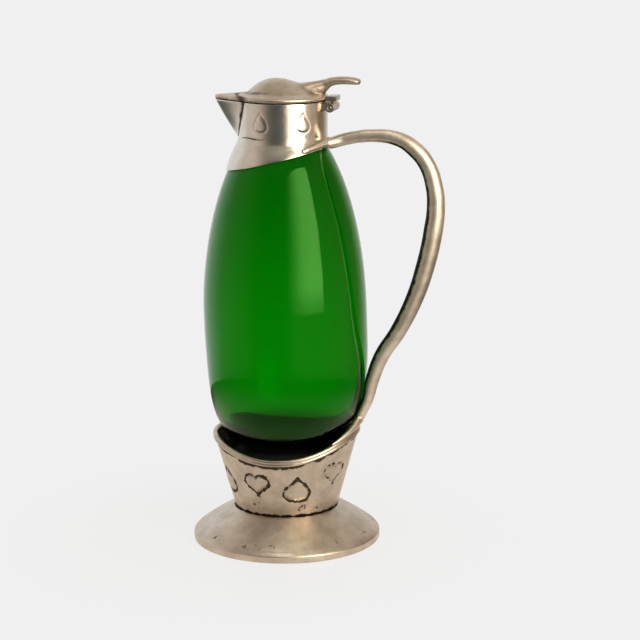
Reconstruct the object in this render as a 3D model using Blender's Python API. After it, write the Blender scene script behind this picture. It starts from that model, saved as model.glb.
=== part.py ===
# Ewer with a tall green glass body in pewter mounts: a spreading foot and cup below, a collar
# with a beak spout and a hinged lid above, and a long looped handle from collar to cup.
# Metres, +Z up, spout towards -X, handle towards +X. Every piece is modelled about the jug's
# own upright axis, which stands off the origin so that the origin is the bottom centre of
# the whole ewer with its handle.

import math

import bmesh
import bpy
from mathutils import Vector

# Shared values
GAP = 0.0003
OVERRUN = 0.004
TURN_STEPS = 48
SMOOTH_ANGLE = math.radians(40)

# Foot
FOOT_RADIUS = 0.0609
FOOT_HEIGHT = 0.0223
FOOT_TOP_RADIUS = 0.0340
FOOT_EDGE_HEIGHT = 0.0044
FOOT_EDGE_WIDTH = 0.0046
FOOT_SHOULDER_RADIUS = 0.0588
FOOT_SHOULDER_HEIGHT = 0.0079
FOOT_WALL = 0.0022
FOOT_SEAT_WIDTH = 0.0090
FOOT_CURVE_STEPS = 6

# Cup
CUP_BASE_RADIUS = 0.0336
CUP_RIM_SHARE = 0.845
CUP_WALL = 0.0016
CUP_FLOOR = 0.0020
CUP_WALL_STEPS = 4

# Saddle line of the cup's rim, lowest at the flanks
SADDLE_LOW = 0.0624
SADDLE_SPOUT_RISE = 0.0093
SADDLE_SPOUT_POWER = 2.8
SADDLE_HANDLE_RISE = 0.0131
SADDLE_HANDLE_POWER = 2.5

# Rim wire of the cup
WIRE_WIDTH = 0.0031
WIRE_HEIGHT = 0.0044
WIRE_FLARE = 0.0004
WIRE_SECTION_SHARES = (
    (-1.0, -0.80), (-0.3, -1.0), (0.7, -0.92), (1.0, -0.55), (0.72, -0.12),
    (1.0, 0.32), (0.75, 0.86), (0.0, 1.0), (-0.8, 0.88), (-1.0, 0.2),
)

# Glass body
GLASS_RADIUS = 0.05254
GLASS_BELLY_HEIGHT = 0.1501
GLASS_SINK = 0.0029
GLASS_RISE_POWER = 1.91
GLASS_DROP_POWER = 3.32
GLASS_WALL = 0.0040
GLASS_BASE_WALL = 0.0060
GLASS_NECK_INSET = 0.00425
GLASS_SHOULDER_DROP = 0.0008
GLASS_MOUTH_RISE = 0.0050
GLASS_BELOW_STEPS = 8
GLASS_ABOVE_STEPS = 9

# Bedding under the glass and round its neck
BED_EDGE_DROP = 0.0084
BED_SEAT_SHARE = 0.44
BED_STEPS = 3
NECK_BED_DROP = 0.0040
NECK_BED_RISE = 0.0030
NECK_BED_STEPS = 2

# Collar and its skirt
COLLAR_RADIUS = 0.02825
COLLAR_TOP = 0.2855
COLLAR_HEIGHT = 0.0225
COLLAR_WALL = 0.0013
SKIRT_MID_DROP = 0.0130
SKIRT_MID_STANDOFF = 0.0025
SKIRT_LIP_DROP = 0.0219
SKIRT_LIP_WALL = 0.0006
SKIRT_EDGE_DROP = 0.0133
SKIRT_EDGE_SLOPE = 0.237
SKIRT_STEPS = 6

# Spout
BEAK_APEX_DROP = 0.0015
BEAK_APEX_STANDOFF = 0.00075
BEAK_TIP_STANDOFF = 0.01545
BEAK_TIP_HALF_WIDTH = 0.0030
BEAK_SEAM_ANGLE = math.radians(43.7)
BEAK_SEAM_POWER = 0.38
BEAK_WALL = 0.0015
BEAK_CHANNEL_RISE = 0.0035
BEAK_STEPS = 6

# Lid plate and the cover over the beak
LID_OVERHANG = 0.00095
LID_THICKNESS = 0.0045
LID_EDGE_ROUND = 0.0013
COVER_THICKNESS = 0.0028
COVER_RIDGE = 0.0006
COVER_OVERHANG = 0.0003

# Dome of the lid
DOME_INSET = 0.0062
DOME_HEIGHT = 0.0086
DOME_EDGE = 0.0007
DOME_LEAN = 0.0044
DOME_STEPS = 7
DOME_SWELL_POWER = 1.12

# Thumbpiece: each station is its reach, top and bottom as shares of the piece's length and
# height, and its half width as a share of the tongue's
THUMB_ROOT = 0.0145
THUMB_OVERHANG = 0.0211
THUMB_HEIGHT = 0.0101
THUMB_HALF_WIDTH = 0.0050
THUMB_STATION_SHARES = (
    (0.00, 0.52, 0.00, 0.80), (0.14, 0.60, 0.00, 1.10), (0.28, 0.69, 0.00, 1.20),
    (0.40, 0.80, 0.00, 1.02), (0.462, 0.87, 0.00, 0.86), (0.49, 0.90, 0.24, 0.80),
    (0.535, 0.94, 0.42, 0.78), (0.62, 0.98, 0.50, 0.84), (0.76, 1.00, 0.51, 0.98),
    (0.88, 0.97, 0.47, 0.98), (0.955, 0.90, 0.46, 0.74), (1.00, 0.78, 0.55, 0.34),
)
THUMB_SIDES = 12
THUMB_FULLNESS = 0.75

# Hinge
HINGE_STANDOFF = 0.00355
HINGE_DROP = 0.0036
KNUCKLE_RADIUS = 0.0030
PIN_RADIUS = 0.0011
HINGE_HALF_WIDTH = 0.0090
MIDDLE_KNUCKLE_HALF_WIDTH = 0.0032
LEAF_HALF_WIDTH = 0.0068
LEAF_OVERHANG = 0.0036
LEAF_THICKNESS = 0.0030
KNUCKLE_SIDES = 20

# Handle: each point of the path is its reach out from a line between the cup's rim and the
# collar, its height and its radius, all as shares of the handle's largest
HANDLE_REACH = 0.1038
HANDLE_TOP_RISE = 0.0011
HANDLE_LOW_RISE = 0.0035
HANDLE_ROOT_INSET = 0.0012
HANDLE_ROOT_SHARE = 0.70
HANDLE_RADIUS = 0.0062
HANDLE_PATH_SHARES = (
    (0.209, 0.989, 0.67), (0.433, 1.000, 0.65), (0.664, 0.989, 0.75), (0.812, 0.954, 0.84),
    (0.920, 0.902, 0.85), (0.985, 0.827, 0.89), (1.000, 0.765, 0.94), (0.979, 0.686, 1.00),
    (0.888, 0.551, 0.97), (0.766, 0.439, 0.91), (0.571, 0.324, 0.83), (0.371, 0.237, 0.76),
    (0.238, 0.150, 0.66), (0.156, 0.081, 0.55), (0.067, 0.036, 0.53), (-0.012, -0.002, 0.50),
)
HANDLE_CURVE_STEPS = 4
HANDLE_ROUND_STEPS = 3

# Forked ends of the handle, an upper pair of arms and a lower pair of tines
ARM_SPREAD = math.radians(55)
ARM_RADIUS = 0.0041
ARM_TAPER = 0.70
ARM_SEAT_SHARE = 0.25
TINE_SPREAD = math.radians(23)
TINE_RADIUS = 0.0029
TINE_TAPER = 0.66
TINE_LIFT_SHARE = 0.85
FORK_STEPS = 8
FORK_CURVE_STEPS = 2
FORK_ROUND_STEPS = 3

# Where the pieces meet
JUG_AXIS_X = (FOOT_RADIUS - HANDLE_REACH) / 2
CUP_BASE_HEIGHT = FOOT_HEIGHT + GAP
CUP_FLARE = (GLASS_RADIUS * CUP_RIM_SHARE - CUP_BASE_RADIUS) / (SADDLE_LOW - CUP_BASE_HEIGHT)
SADDLE_TOP = SADDLE_LOW + SADDLE_HANDLE_RISE
CREASE_HEIGHT = COLLAR_TOP - COLLAR_HEIGHT
SKIRT_MID_HEIGHT = CREASE_HEIGHT - SKIRT_MID_DROP
SKIRT_LIP_HEIGHT = CREASE_HEIGHT - SKIRT_LIP_DROP
LID_RADIUS = COLLAR_RADIUS + LID_OVERHANG
LID_BASE = COLLAR_TOP + GAP
LID_TOP = LID_BASE + LID_THICKNESS
DOME_RADIUS = LID_RADIUS - DOME_INSET
DOME_BASE = LID_TOP + GAP
HINGE_REACH = COLLAR_RADIUS + HINGE_STANDOFF
HINGE_HEIGHT = COLLAR_TOP - HINGE_DROP

# The glass reaches from its seat in the cup to the neck inside the collar
GLASS_NECK_RADIUS = COLLAR_RADIUS - GLASS_NECK_INSET
GLASS_MOUTH_HEIGHT = CREASE_HEIGHT + GLASS_MOUTH_RISE
GLASS_DROP = GLASS_BELLY_HEIGHT - SADDLE_LOW + GLASS_SINK
GLASS_NECK_SHARE = 1 - (GLASS_NECK_RADIUS / GLASS_RADIUS) ** GLASS_RISE_POWER
GLASS_RISE = (CREASE_HEIGHT - GLASS_SHOULDER_DROP - GLASS_BELLY_HEIGHT) / (
    GLASS_NECK_SHARE ** (1 / GLASS_RISE_POWER))


def pewter(name, colour, roughness):
    """A metal surface of the given colour."""
    surface = bpy.data.materials.new(name)
    surface.use_nodes = True
    shader = surface.node_tree.nodes["Principled BSDF"]
    shader.inputs["Base Color"].default_value = (*colour, 1.0)
    shader.inputs["Roughness"].default_value = roughness
    shader.inputs["Metallic"].default_value = 1.0
    return surface


def plain(name, colour, roughness, transmission=0.0):
    """A surface that is not metal, clear where transmission is 1."""
    surface = bpy.data.materials.new(name)
    surface.use_nodes = True
    shader = surface.node_tree.nodes["Principled BSDF"]
    shader.inputs["Base Color"].default_value = (*colour, 1.0)
    shader.inputs["Roughness"].default_value = roughness
    shader.inputs["Transmission Weight"].default_value = transmission
    return surface


def add_empty(name, parent, place):
    """An empty that carries pieces at a joint or an axis."""
    empty = bpy.data.objects.new(name, None)
    empty.parent = parent
    empty.location = place
    bpy.context.scene.collection.objects.link(empty)
    return empty


def add_mesh(name, mesh, surface, carrier):
    """One piece, its mesh in jug coordinates, carried by the jug's axis or the lid's hinge."""
    piece = bpy.data.objects.new(name, mesh)
    piece.parent = carrier
    piece.location = -carrier.location if carrier.parent else Vector()
    if surface is not None:
        mesh.materials.append(surface)
    mesh.shade_smooth()
    mesh.set_sharp_from_angle(angle=SMOOTH_ANGLE)
    bpy.context.scene.collection.objects.link(piece)
    return piece


def to_mesh(name, bm):
    """Close a bmesh into a mesh whose faces point outwards."""
    bmesh.ops.remove_doubles(bm, verts=bm.verts, dist=GAP / 100)
    bmesh.ops.recalc_face_normals(bm, faces=bm.faces)
    mesh = bpy.data.meshes.new(name)
    bm.to_mesh(mesh)
    bm.free()
    return mesh


def turned(name, profile, closed):
    """Spin a profile of (radius, height) points once round the axis."""
    bm = bmesh.new()
    points = [bm.verts.new((radius, 0, height)) for radius, height in profile]
    pairs = list(zip(points, points[1:]))
    if closed:
        pairs.append((points[-1], points[0]))
    edges = [bm.edges.new(pair) for pair in pairs]
    bmesh.ops.spin(bm, geom=points + edges, cent=(0, 0, 0), axis=(0, 0, 1),
                   angle=math.tau, steps=TURN_STEPS, use_merge=True)
    return to_mesh(name, bm)


def lofted(name, rings, round_trip):
    """Join rings of points with quads, with flat ends unless the rings come full circle."""
    bm = bmesh.new()
    loops = [[bm.verts.new(point) for point in ring] for ring in rings]
    steps = list(zip(loops, loops[1:]))
    if round_trip:
        steps.append((loops[-1], loops[0]))
    for here, there in steps:
        for index in range(len(here)):
            after = (index + 1) % len(here)
            bm.faces.new((here[index], here[after], there[after], there[index]))
    if not round_trip:
        bm.faces.new(loops[0])
        bm.faces.new(loops[-1])
    return to_mesh(name, bm)


def around(name, section):
    """Loft a closed section of (radius, height) points that changes with the angle."""
    rings = []
    for step in range(TURN_STEPS):
        angle = math.tau * step / TURN_STEPS
        rings.append([(radius * math.cos(angle), radius * math.sin(angle), height)
                      for radius, height in section(angle)])
    return lofted(name, rings, round_trip=True)


def cylinder_y(name, radius, low, high, reach, height):
    """A round bar along Y at the given reach and height."""
    ring = [(reach + radius * math.cos(math.tau * side / KNUCKLE_SIDES),
             height + radius * math.sin(math.tau * side / KNUCKLE_SIDES))
            for side in range(KNUCKLE_SIDES)]
    rings = [[(x, y, z) for x, z in ring] for y in (low, high)]
    return lofted(name, rings, round_trip=False)


def box(name, low, high):
    """A block between two corners."""
    rings = [[(low[0], low[1], z), (high[0], low[1], z), (high[0], high[1], z),
              (low[0], high[1], z)] for z in (low[2], high[2])]
    return lofted(name, rings, round_trip=False)


def tool(name, mesh, carrier):
    """A solid that only cuts or joins others."""
    piece = add_mesh(name, mesh, None, carrier)
    piece.hide_render = True
    piece.display_type = "WIRE"
    return piece


def combine(piece, other, operation):
    """Cut or join a piece with a tool."""
    modifier = piece.modifiers.new(other.name, "BOOLEAN")
    modifier.operation = operation
    modifier.solver = "EXACT"
    modifier.object = other


def between(start, end, share):
    """The value at a share of the way from start to end."""
    return start + (end - start) * share


def bend(start, middle, end, steps):
    """Points of a curve that leaves start towards middle and arrives at end from it."""
    points = []
    for step in range(steps + 1):
        share = step / steps
        points.append(tuple(between(between(a, b, share), between(b, c, share), share)
                            for a, b, c in zip(start, middle, end)))
    return points


def saddle(angle):
    """Height of the top of the cup's rim at an angle from the handle."""
    across = math.cos(angle)
    if across < 0:
        flank = abs(math.sin(angle)) ** SADDLE_SPOUT_POWER
        return SADDLE_LOW + SADDLE_SPOUT_RISE * (1 - flank)
    return SADDLE_LOW + SADDLE_HANDLE_RISE * across ** SADDLE_HANDLE_POWER


def cup_radius(height):
    """Outer radius of the cup's wall."""
    return CUP_BASE_RADIUS + CUP_FLARE * (height - CUP_BASE_HEIGHT)


def glass_radius(height, inset=0.0, base_inset=0.0):
    """Radius of the glass, or of its inside where it is inset by the wall."""
    belly = GLASS_RADIUS - inset
    if height > GLASS_BELLY_HEIGHT:
        share = min((height - GLASS_BELLY_HEIGHT) / (GLASS_RISE - inset), 1)
        swell = belly * (1 - share ** GLASS_RISE_POWER) ** (1 / GLASS_RISE_POWER)
        return max(swell, GLASS_NECK_RADIUS - inset)
    share = min((GLASS_BELLY_HEIGHT - height) / (GLASS_DROP - base_inset), 1)
    return belly * (1 - share ** GLASS_DROP_POWER) ** (1 / GLASS_DROP_POWER)


def glass_underside(radius):
    """Height of the glass's rounded base at a radius."""
    share = (1 - (radius / GLASS_RADIUS) ** GLASS_DROP_POWER) ** (1 / GLASS_DROP_POWER)
    return GLASS_BELLY_HEIGHT - GLASS_DROP * share


def glass_side(inset, base_inset, top):
    """Points up the glass from its base on the axis to its mouth."""
    depth = GLASS_DROP - base_inset
    points = [(0, GLASS_BELLY_HEIGHT - depth)]
    for step in range(1, GLASS_BELOW_STEPS):
        slope = math.pi / 2 * (1 - step / GLASS_BELOW_STEPS)
        height = GLASS_BELLY_HEIGHT - depth * math.sin(slope) ** (2 / GLASS_DROP_POWER)
        points.append((glass_radius(height, inset, base_inset), height))
    shoulder = CREASE_HEIGHT
    for step in range(GLASS_ABOVE_STEPS + 1):
        bow = math.sin(math.pi / 2 * step / GLASS_ABOVE_STEPS)
        height = between(GLASS_BELLY_HEIGHT, shoulder, bow)
        points.append((glass_radius(height, inset), height))
    points.append((GLASS_NECK_RADIUS - inset, top))
    return points


def collar_radius(height):
    """Outer radius of the collar, which flares into its skirt below the crease."""
    if height >= CREASE_HEIGHT:
        return COLLAR_RADIUS
    middle = glass_radius(SKIRT_MID_HEIGHT) + SKIRT_MID_STANDOFF
    if height >= SKIRT_MID_HEIGHT:
        share = (CREASE_HEIGHT - height) / SKIRT_MID_DROP
        return between(COLLAR_RADIUS, middle, share)
    lip = glass_radius(SKIRT_LIP_HEIGHT) + GAP + SKIRT_LIP_WALL
    share = (SKIRT_MID_HEIGHT - height) / (SKIRT_LIP_DROP - SKIRT_MID_DROP)
    return between(middle, lip, share)


def collar_inside(height):
    """Inner radius of the collar, whose wall thins towards the skirt's lip."""
    depth = max(CREASE_HEIGHT - height, 0) / SKIRT_LIP_DROP
    return collar_radius(height) - between(COLLAR_WALL, SKIRT_LIP_WALL, depth)


def skirt_edge(angle):
    """Height of the skirt's slanted lower edge at an angle from the handle."""
    middle = CREASE_HEIGHT - SKIRT_EDGE_DROP
    height = middle
    for _ in range(TURN_STEPS):
        height = middle + SKIRT_EDGE_SLOPE * collar_radius(height) * math.cos(angle)
    return height


def make_foot(surface, carrier):
    """Spun foot: a shallow cone on an upright edge, hollow beneath."""
    edge_inside = FOOT_RADIUS - FOOT_EDGE_WIDTH
    outside = bend((FOOT_TOP_RADIUS, FOOT_HEIGHT),
                   (FOOT_SHOULDER_RADIUS, FOOT_SHOULDER_HEIGHT),
                   (FOOT_RADIUS, FOOT_EDGE_HEIGHT), FOOT_CURVE_STEPS)
    inside = bend((edge_inside, FOOT_EDGE_HEIGHT - FOOT_WALL),
                  (FOOT_SHOULDER_RADIUS - FOOT_WALL, FOOT_SHOULDER_HEIGHT - FOOT_WALL),
                  (FOOT_TOP_RADIUS - FOOT_WALL / 2, FOOT_HEIGHT - FOOT_WALL), FOOT_CURVE_STEPS)
    seat = FOOT_TOP_RADIUS - FOOT_SEAT_WIDTH
    profile = [(seat, FOOT_HEIGHT)] + outside + [(FOOT_RADIUS, 0), (edge_inside, 0)]
    profile += inside + [(seat, FOOT_HEIGHT - FOOT_WALL)]
    return add_mesh("foot", turned("foot", profile, closed=True), surface, carrier)


def make_cup(surface, carrier):
    """Conical cup whose wall rises to the saddle line just under the rim wire."""
    floor = CUP_BASE_HEIGHT + CUP_FLOOR
    bm = bmesh.new()
    rings = []
    for step in range(TURN_STEPS):
        angle = math.tau * step / TURN_STEPS
        top = saddle(angle) - WIRE_HEIGHT - GAP
        section = [(0, CUP_BASE_HEIGHT)]
        for level in range(CUP_WALL_STEPS + 1):
            height = between(CUP_BASE_HEIGHT, top, level / CUP_WALL_STEPS)
            section.append((cup_radius(height), height))
        for level in range(CUP_WALL_STEPS + 1):
            height = between(top, floor, level / CUP_WALL_STEPS)
            section.append((cup_radius(height) - CUP_WALL, height))
        section.append((0, floor))
        rings.append([bm.verts.new((radius * math.cos(angle), radius * math.sin(angle), height))
                      for radius, height in section])
    for here, there in zip(rings, rings[1:] + rings[:1]):
        for index in range(len(here) - 1):
            bm.faces.new((here[index], there[index], there[index + 1], here[index + 1]))
    return add_mesh("cup", to_mesh("cup", bm), surface, carrier)


def wire_section(angle, grow=0.0):
    """Double-ridged section of the rim wire, grown all round where it is to clear a piece."""
    half_width = WIRE_WIDTH / 2 + grow
    half_height = WIRE_HEIGHT / 2 + grow
    height = saddle(angle) - WIRE_HEIGHT / 2
    radius = cup_radius(height) - CUP_WALL / 2 + WIRE_FLARE
    return [(radius + half_width * across, height + half_height * up)
            for across, up in WIRE_SECTION_SHARES]


def make_rim_wire(surface, carrier):
    """Ridged wire laid along the saddle-shaped edge of the cup."""
    return add_mesh("cup_rim_wire", around("cup_rim_wire", wire_section), surface, carrier)


def make_glass(surface, carrier):
    """Blown body: a long egg, thicker at the base, with a short neck."""
    outside = glass_side(0, 0, GLASS_MOUTH_HEIGHT)
    inside = glass_side(GLASS_WALL, GLASS_BASE_WALL, GLASS_MOUTH_HEIGHT)
    profile = outside + list(reversed(inside))
    return add_mesh("glass_body", turned("glass_body", profile, closed=False), surface, carrier)


def make_beds(surface, carrier):
    """Cement that the glass stands on, and the ring of it that holds the neck."""
    floor = CUP_BASE_HEIGHT + CUP_FLOOR + GAP
    wall = CUP_WALL + GAP
    edge = SADDLE_LOW - BED_EDGE_DROP
    profile = [(0, floor), (cup_radius(floor) - wall, floor), (cup_radius(edge) - wall, edge)]
    for step in range(BED_STEPS + 1):
        radius = GLASS_RADIUS * BED_SEAT_SHARE * (1 - step / BED_STEPS)
        profile.append((radius, glass_underside(radius) - GAP))
    add_mesh("glass_bed", turned("glass_bed", profile, closed=False), surface, carrier)

    outer, inner = [], []
    for step in range(NECK_BED_STEPS + 1):
        height = CREASE_HEIGHT + between(-NECK_BED_DROP, NECK_BED_RISE, step / NECK_BED_STEPS)
        outer.append((collar_inside(height) - GAP, height))
        inner.append((glass_radius(height) + GAP, height))
    ring = turned("neck_bed", outer + list(reversed(inner)), closed=True)
    add_mesh("neck_bed", ring, surface, carrier)


def beak_section(height, inset, back):
    """Level section of the beak, its walls inset and its open side drawn back."""
    rise = (height - CREASE_HEIGHT + BEAK_APEX_DROP) / (COLLAR_HEIGHT + BEAK_APEX_DROP)
    rise = min(max(rise, 0), 1)
    seam_angle = BEAK_SEAM_ANGLE * rise ** BEAK_SEAM_POWER
    keel = -COLLAR_RADIUS - between(BEAK_APEX_STANDOFF, BEAK_TIP_STANDOFF, rise)
    seam = Vector((-COLLAR_RADIUS * math.cos(seam_angle), COLLAR_RADIUS * math.sin(seam_angle)))
    tip = Vector((keel, BEAK_TIP_HALF_WIDTH * rise ** (1 / 2)))
    along = (tip - seam).normalized()
    inward = Vector((-along.y, along.x))
    seam += inward * inset - along * back
    tip += inward * inset
    tip += along * ((keel + inset - tip.x) / along.x)
    return [(seam.x, seam.y, height), (tip.x, max(tip.y, GAP), height),
            (tip.x, -max(tip.y, GAP), height), (seam.x, -seam.y, height)]


def beak_body(name, inset, back, low, high):
    """Solid of stacked beak sections between two heights."""
    rings = []
    for step in range(BEAK_STEPS + 1):
        height = between(low, COLLAR_TOP, (step / BEAK_STEPS) ** 2)
        rings.append(beak_section(height, inset, back))
    if high > COLLAR_TOP:
        rings.append([(x, y, high) for x, y, _ in rings[-1]])
    return lofted(name, rings, round_trip=False)


def collar_block(name, grow):
    """The collar's outer shape filled in, grown to clear what lies against it."""
    heights = [between(SKIRT_LIP_HEIGHT, CREASE_HEIGHT, step / SKIRT_STEPS)
               for step in range(SKIRT_STEPS + 1)]
    low = SKIRT_LIP_HEIGHT - OVERRUN
    high = COLLAR_TOP + OVERRUN
    profile = [(0, low), (collar_radius(SKIRT_LIP_HEIGHT) + grow, low)]
    profile += [(collar_radius(height) + grow, height) for height in heights]
    profile += [(COLLAR_RADIUS + grow, high), (0, high)]
    return turned(name, profile, closed=False)


def make_collar(surface, carrier, channel):
    """Collar and flared skirt in one, notched where the beak opens into it."""
    def section(angle):
        edge = skirt_edge(angle)
        knee = max(SKIRT_MID_HEIGHT, between(edge, CREASE_HEIGHT, 1 / 3))
        heights = (edge, between(edge, knee, 1 / 2), knee, CREASE_HEIGHT)
        outer = [(collar_radius(height), height) for height in heights]
        outer.append((COLLAR_RADIUS, COLLAR_TOP))
        inner = [(collar_inside(height), height) for height in heights]
        inner.append((COLLAR_RADIUS - COLLAR_WALL, COLLAR_TOP))
        return outer + list(reversed(inner))

    collar = add_mesh("collar", around("collar", section), surface, carrier)
    combine(collar, channel, "DIFFERENCE")
    return collar


def make_spout(surface, carrier, collar_clear, channel):
    """Beak spout: two flat walls on a sloping keel, open along the top."""
    apex = CREASE_HEIGHT - BEAK_APEX_DROP
    body = beak_body("spout", 0, COLLAR_RADIUS / 4, apex + GAP, COLLAR_TOP)
    spout = add_mesh("spout", body, surface, carrier)
    combine(spout, channel, "DIFFERENCE")
    combine(spout, collar_clear, "DIFFERENCE")
    return spout


def make_lugs(surface, carrier, collar_clear, pin_clear):
    """Two fixed knuckles, each a round barrel with a block back to the collar."""
    inner_end = MIDDLE_KNUCKLE_HALF_WIDTH + GAP
    for name, side in (("hinge_lug_near", -1), ("hinge_lug_far", 1)):
        low, high = sorted((side * inner_end, side * HINGE_HALF_WIDTH))
        barrel = cylinder_y(name, KNUCKLE_RADIUS, low, high, HINGE_REACH, HINGE_HEIGHT)
        lug = add_mesh(name, barrel, surface, carrier)
        block = box(name + "_block",
                    (COLLAR_RADIUS - OVERRUN, low, HINGE_HEIGHT - KNUCKLE_RADIUS / 2),
                    (HINGE_REACH, high, HINGE_HEIGHT + KNUCKLE_RADIUS * math.cos(math.pi / 6)))
        combine(lug, tool(name + "_block", block, carrier), "UNION")
        combine(lug, collar_clear, "DIFFERENCE")
        combine(lug, pin_clear, "DIFFERENCE")


def make_pin(surface, carrier):
    """Hinge pin through all three knuckles."""
    pin = cylinder_y("hinge_pin", PIN_RADIUS, -HINGE_HALF_WIDTH, HINGE_HALF_WIDTH,
                     HINGE_REACH, HINGE_HEIGHT)
    return add_mesh("hinge_pin", pin, surface, carrier)


def make_lid_plate(surface, carrier):
    """Round lid with a softened edge."""
    soft = LID_EDGE_ROUND
    profile = [(0, LID_BASE), (LID_RADIUS - soft, LID_BASE), (LID_RADIUS, LID_BASE + soft),
               (LID_RADIUS, LID_TOP - 2 * soft), (LID_RADIUS - soft / 2, LID_TOP - soft / 2),
               (LID_RADIUS - 2 * soft, LID_TOP), (0, LID_TOP)]
    return add_mesh("lid_plate", turned("lid_plate", profile, closed=False), surface, carrier)


def lid_block(name):
    """The lid's round outline as a tall block, grown by the gap, for cutting."""
    radius = LID_RADIUS + GAP
    low = HINGE_HEIGHT - KNUCKLE_RADIUS
    high = LID_TOP + OVERRUN
    return turned(name, [(0, low), (radius, low), (radius, high), (0, high)], closed=False)


def make_cover(surface, carrier, lid_clear):
    """Flat cover that follows the beak's outline, with a low ridge along it."""
    section = beak_section(COLLAR_TOP, -COVER_OVERHANG, COLLAR_RADIUS / 4)
    top = LID_BASE + COVER_THICKNESS
    seam, tip = Vector(section[0]), Vector(section[1])
    outline = [(seam.x, seam.y), (tip.x, tip.y), (tip.x, 0), (tip.x, -tip.y),
               (seam.x, -seam.y), (seam.x, 0)]
    rise = (0, 0, COVER_RIDGE, 0, 0, COVER_RIDGE)
    rings = [[(x, y, LID_BASE) for x, y in outline],
             [(x, y, top + lift) for (x, y), lift in zip(outline, rise)]]
    bm = bmesh.new()
    low, high = [[bm.verts.new(point) for point in ring] for ring in rings]
    bm.faces.new(low)
    bm.faces.new((high[0], high[1], high[2], high[5]))
    bm.faces.new((high[5], high[2], high[3], high[4]))
    for index in range(len(low)):
        after = (index + 1) % len(low)
        bm.faces.new((low[index], low[after], high[after], high[index]))
    cover = add_mesh("beak_cover", to_mesh("beak_cover", bm), surface, carrier)
    combine(cover, lid_clear, "DIFFERENCE")
    return cover


def dome_mesh(name, grow):
    """Rounded hump with a swept foot, its crown leaning towards the spout."""
    radius = DOME_RADIUS + grow
    profile = []
    for step in range(DOME_STEPS + 1):
        share = step / DOME_STEPS
        swell = (1 - share ** 2) ** DOME_SWELL_POWER
        height = between(DOME_EDGE, DOME_HEIGHT, swell)
        profile.append((radius * share, DOME_BASE + height + grow))
    profile += [(radius, DOME_BASE - grow), (0, DOME_BASE - grow)]
    mesh = turned(name, profile, closed=False)
    for vertex in mesh.vertices:
        height = max(vertex.co.z - DOME_BASE, 0) / DOME_HEIGHT
        vertex.co.x -= DOME_LEAN * height
    return mesh


def make_dome(surface, carrier):
    """Hump on the middle of the lid."""
    return add_mesh("lid_dome", dome_mesh("lid_dome", 0), surface, carrier)


def make_thumbpiece(surface, carrier, dome_clear):
    """Tongue for the thumb, on a web that springs from the dome and the lid."""
    rings = []
    for reach_share, top_share, low_share, width_share in THUMB_STATION_SHARES:
        x = between(DOME_RADIUS - THUMB_ROOT, LID_RADIUS + THUMB_OVERHANG, reach_share)
        top = DOME_BASE + THUMB_HEIGHT * top_share
        low = DOME_BASE + THUMB_HEIGHT * low_share
        half_width = THUMB_HALF_WIDTH * width_share
        ring = []
        for side in range(THUMB_SIDES):
            angle = math.tau * side / THUMB_SIDES
            across = math.copysign(abs(math.cos(angle)) ** THUMB_FULLNESS, math.cos(angle))
            up = math.copysign(abs(math.sin(angle)) ** THUMB_FULLNESS, math.sin(angle))
            ring.append((x, half_width * across, between(low, top, (1 + up) / 2)))
        rings.append(ring)
    thumb = add_mesh("thumbpiece", lofted("thumbpiece", rings, round_trip=False), surface, carrier)
    combine(thumb, dome_clear, "DIFFERENCE")
    return thumb


def make_leaf(surface, carrier, lid_clear, pin_clear):
    """Hinge leaf on the lid's edge, with the middle knuckle beneath it."""
    leaf_top = LID_BASE + LEAF_THICKNESS
    slab = box("hinge_leaf", (COLLAR_RADIUS - OVERRUN, -LEAF_HALF_WIDTH, LID_BASE),
               (HINGE_REACH + LEAF_OVERHANG, LEAF_HALF_WIDTH, leaf_top))
    leaf = add_mesh("hinge_leaf", slab, surface, carrier)
    neck = box("knuckle_neck",
               (HINGE_REACH - KNUCKLE_RADIUS / 2, -MIDDLE_KNUCKLE_HALF_WIDTH, HINGE_HEIGHT),
               (HINGE_REACH + KNUCKLE_RADIUS / 2, MIDDLE_KNUCKLE_HALF_WIDTH,
                between(LID_BASE, leaf_top, 1 / 2)))
    barrel = cylinder_y("middle_knuckle", KNUCKLE_RADIUS, -MIDDLE_KNUCKLE_HALF_WIDTH,
                        MIDDLE_KNUCKLE_HALF_WIDTH, HINGE_REACH, HINGE_HEIGHT)
    combine(leaf, lid_clear, "DIFFERENCE")
    combine(leaf, tool("knuckle_neck", neck, carrier), "UNION")
    combine(leaf, tool("middle_knuckle", barrel, carrier), "UNION")
    combine(leaf, pin_clear, "DIFFERENCE")
    return leaf


def rod(name, points, curve_steps, round_steps):
    """Round bar along a smooth curve through (place, radius) points, as a mesh."""
    curve = bpy.data.curves.new(name, "CURVE")
    curve.dimensions = "3D"
    curve.bevel_depth = 1
    curve.bevel_resolution = round_steps
    curve.use_fill_caps = True
    curve.resolution_u = curve_steps
    spline = curve.splines.new("BEZIER")
    spline.bezier_points.add(len(points) - 1)
    for knot, (place, radius) in zip(spline.bezier_points, points):
        knot.co = place
        knot.radius = radius
        knot.handle_left_type = "AUTO"
        knot.handle_right_type = "AUTO"
    guide = bpy.data.objects.new(name + "_path", curve)
    bpy.context.scene.collection.objects.link(guide)
    evaluated = guide.evaluated_get(bpy.context.evaluated_depsgraph_get())
    bm = bmesh.new()
    bm.from_mesh(evaluated.to_mesh())
    bpy.data.objects.remove(guide)
    return to_mesh(name, bm)


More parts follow.
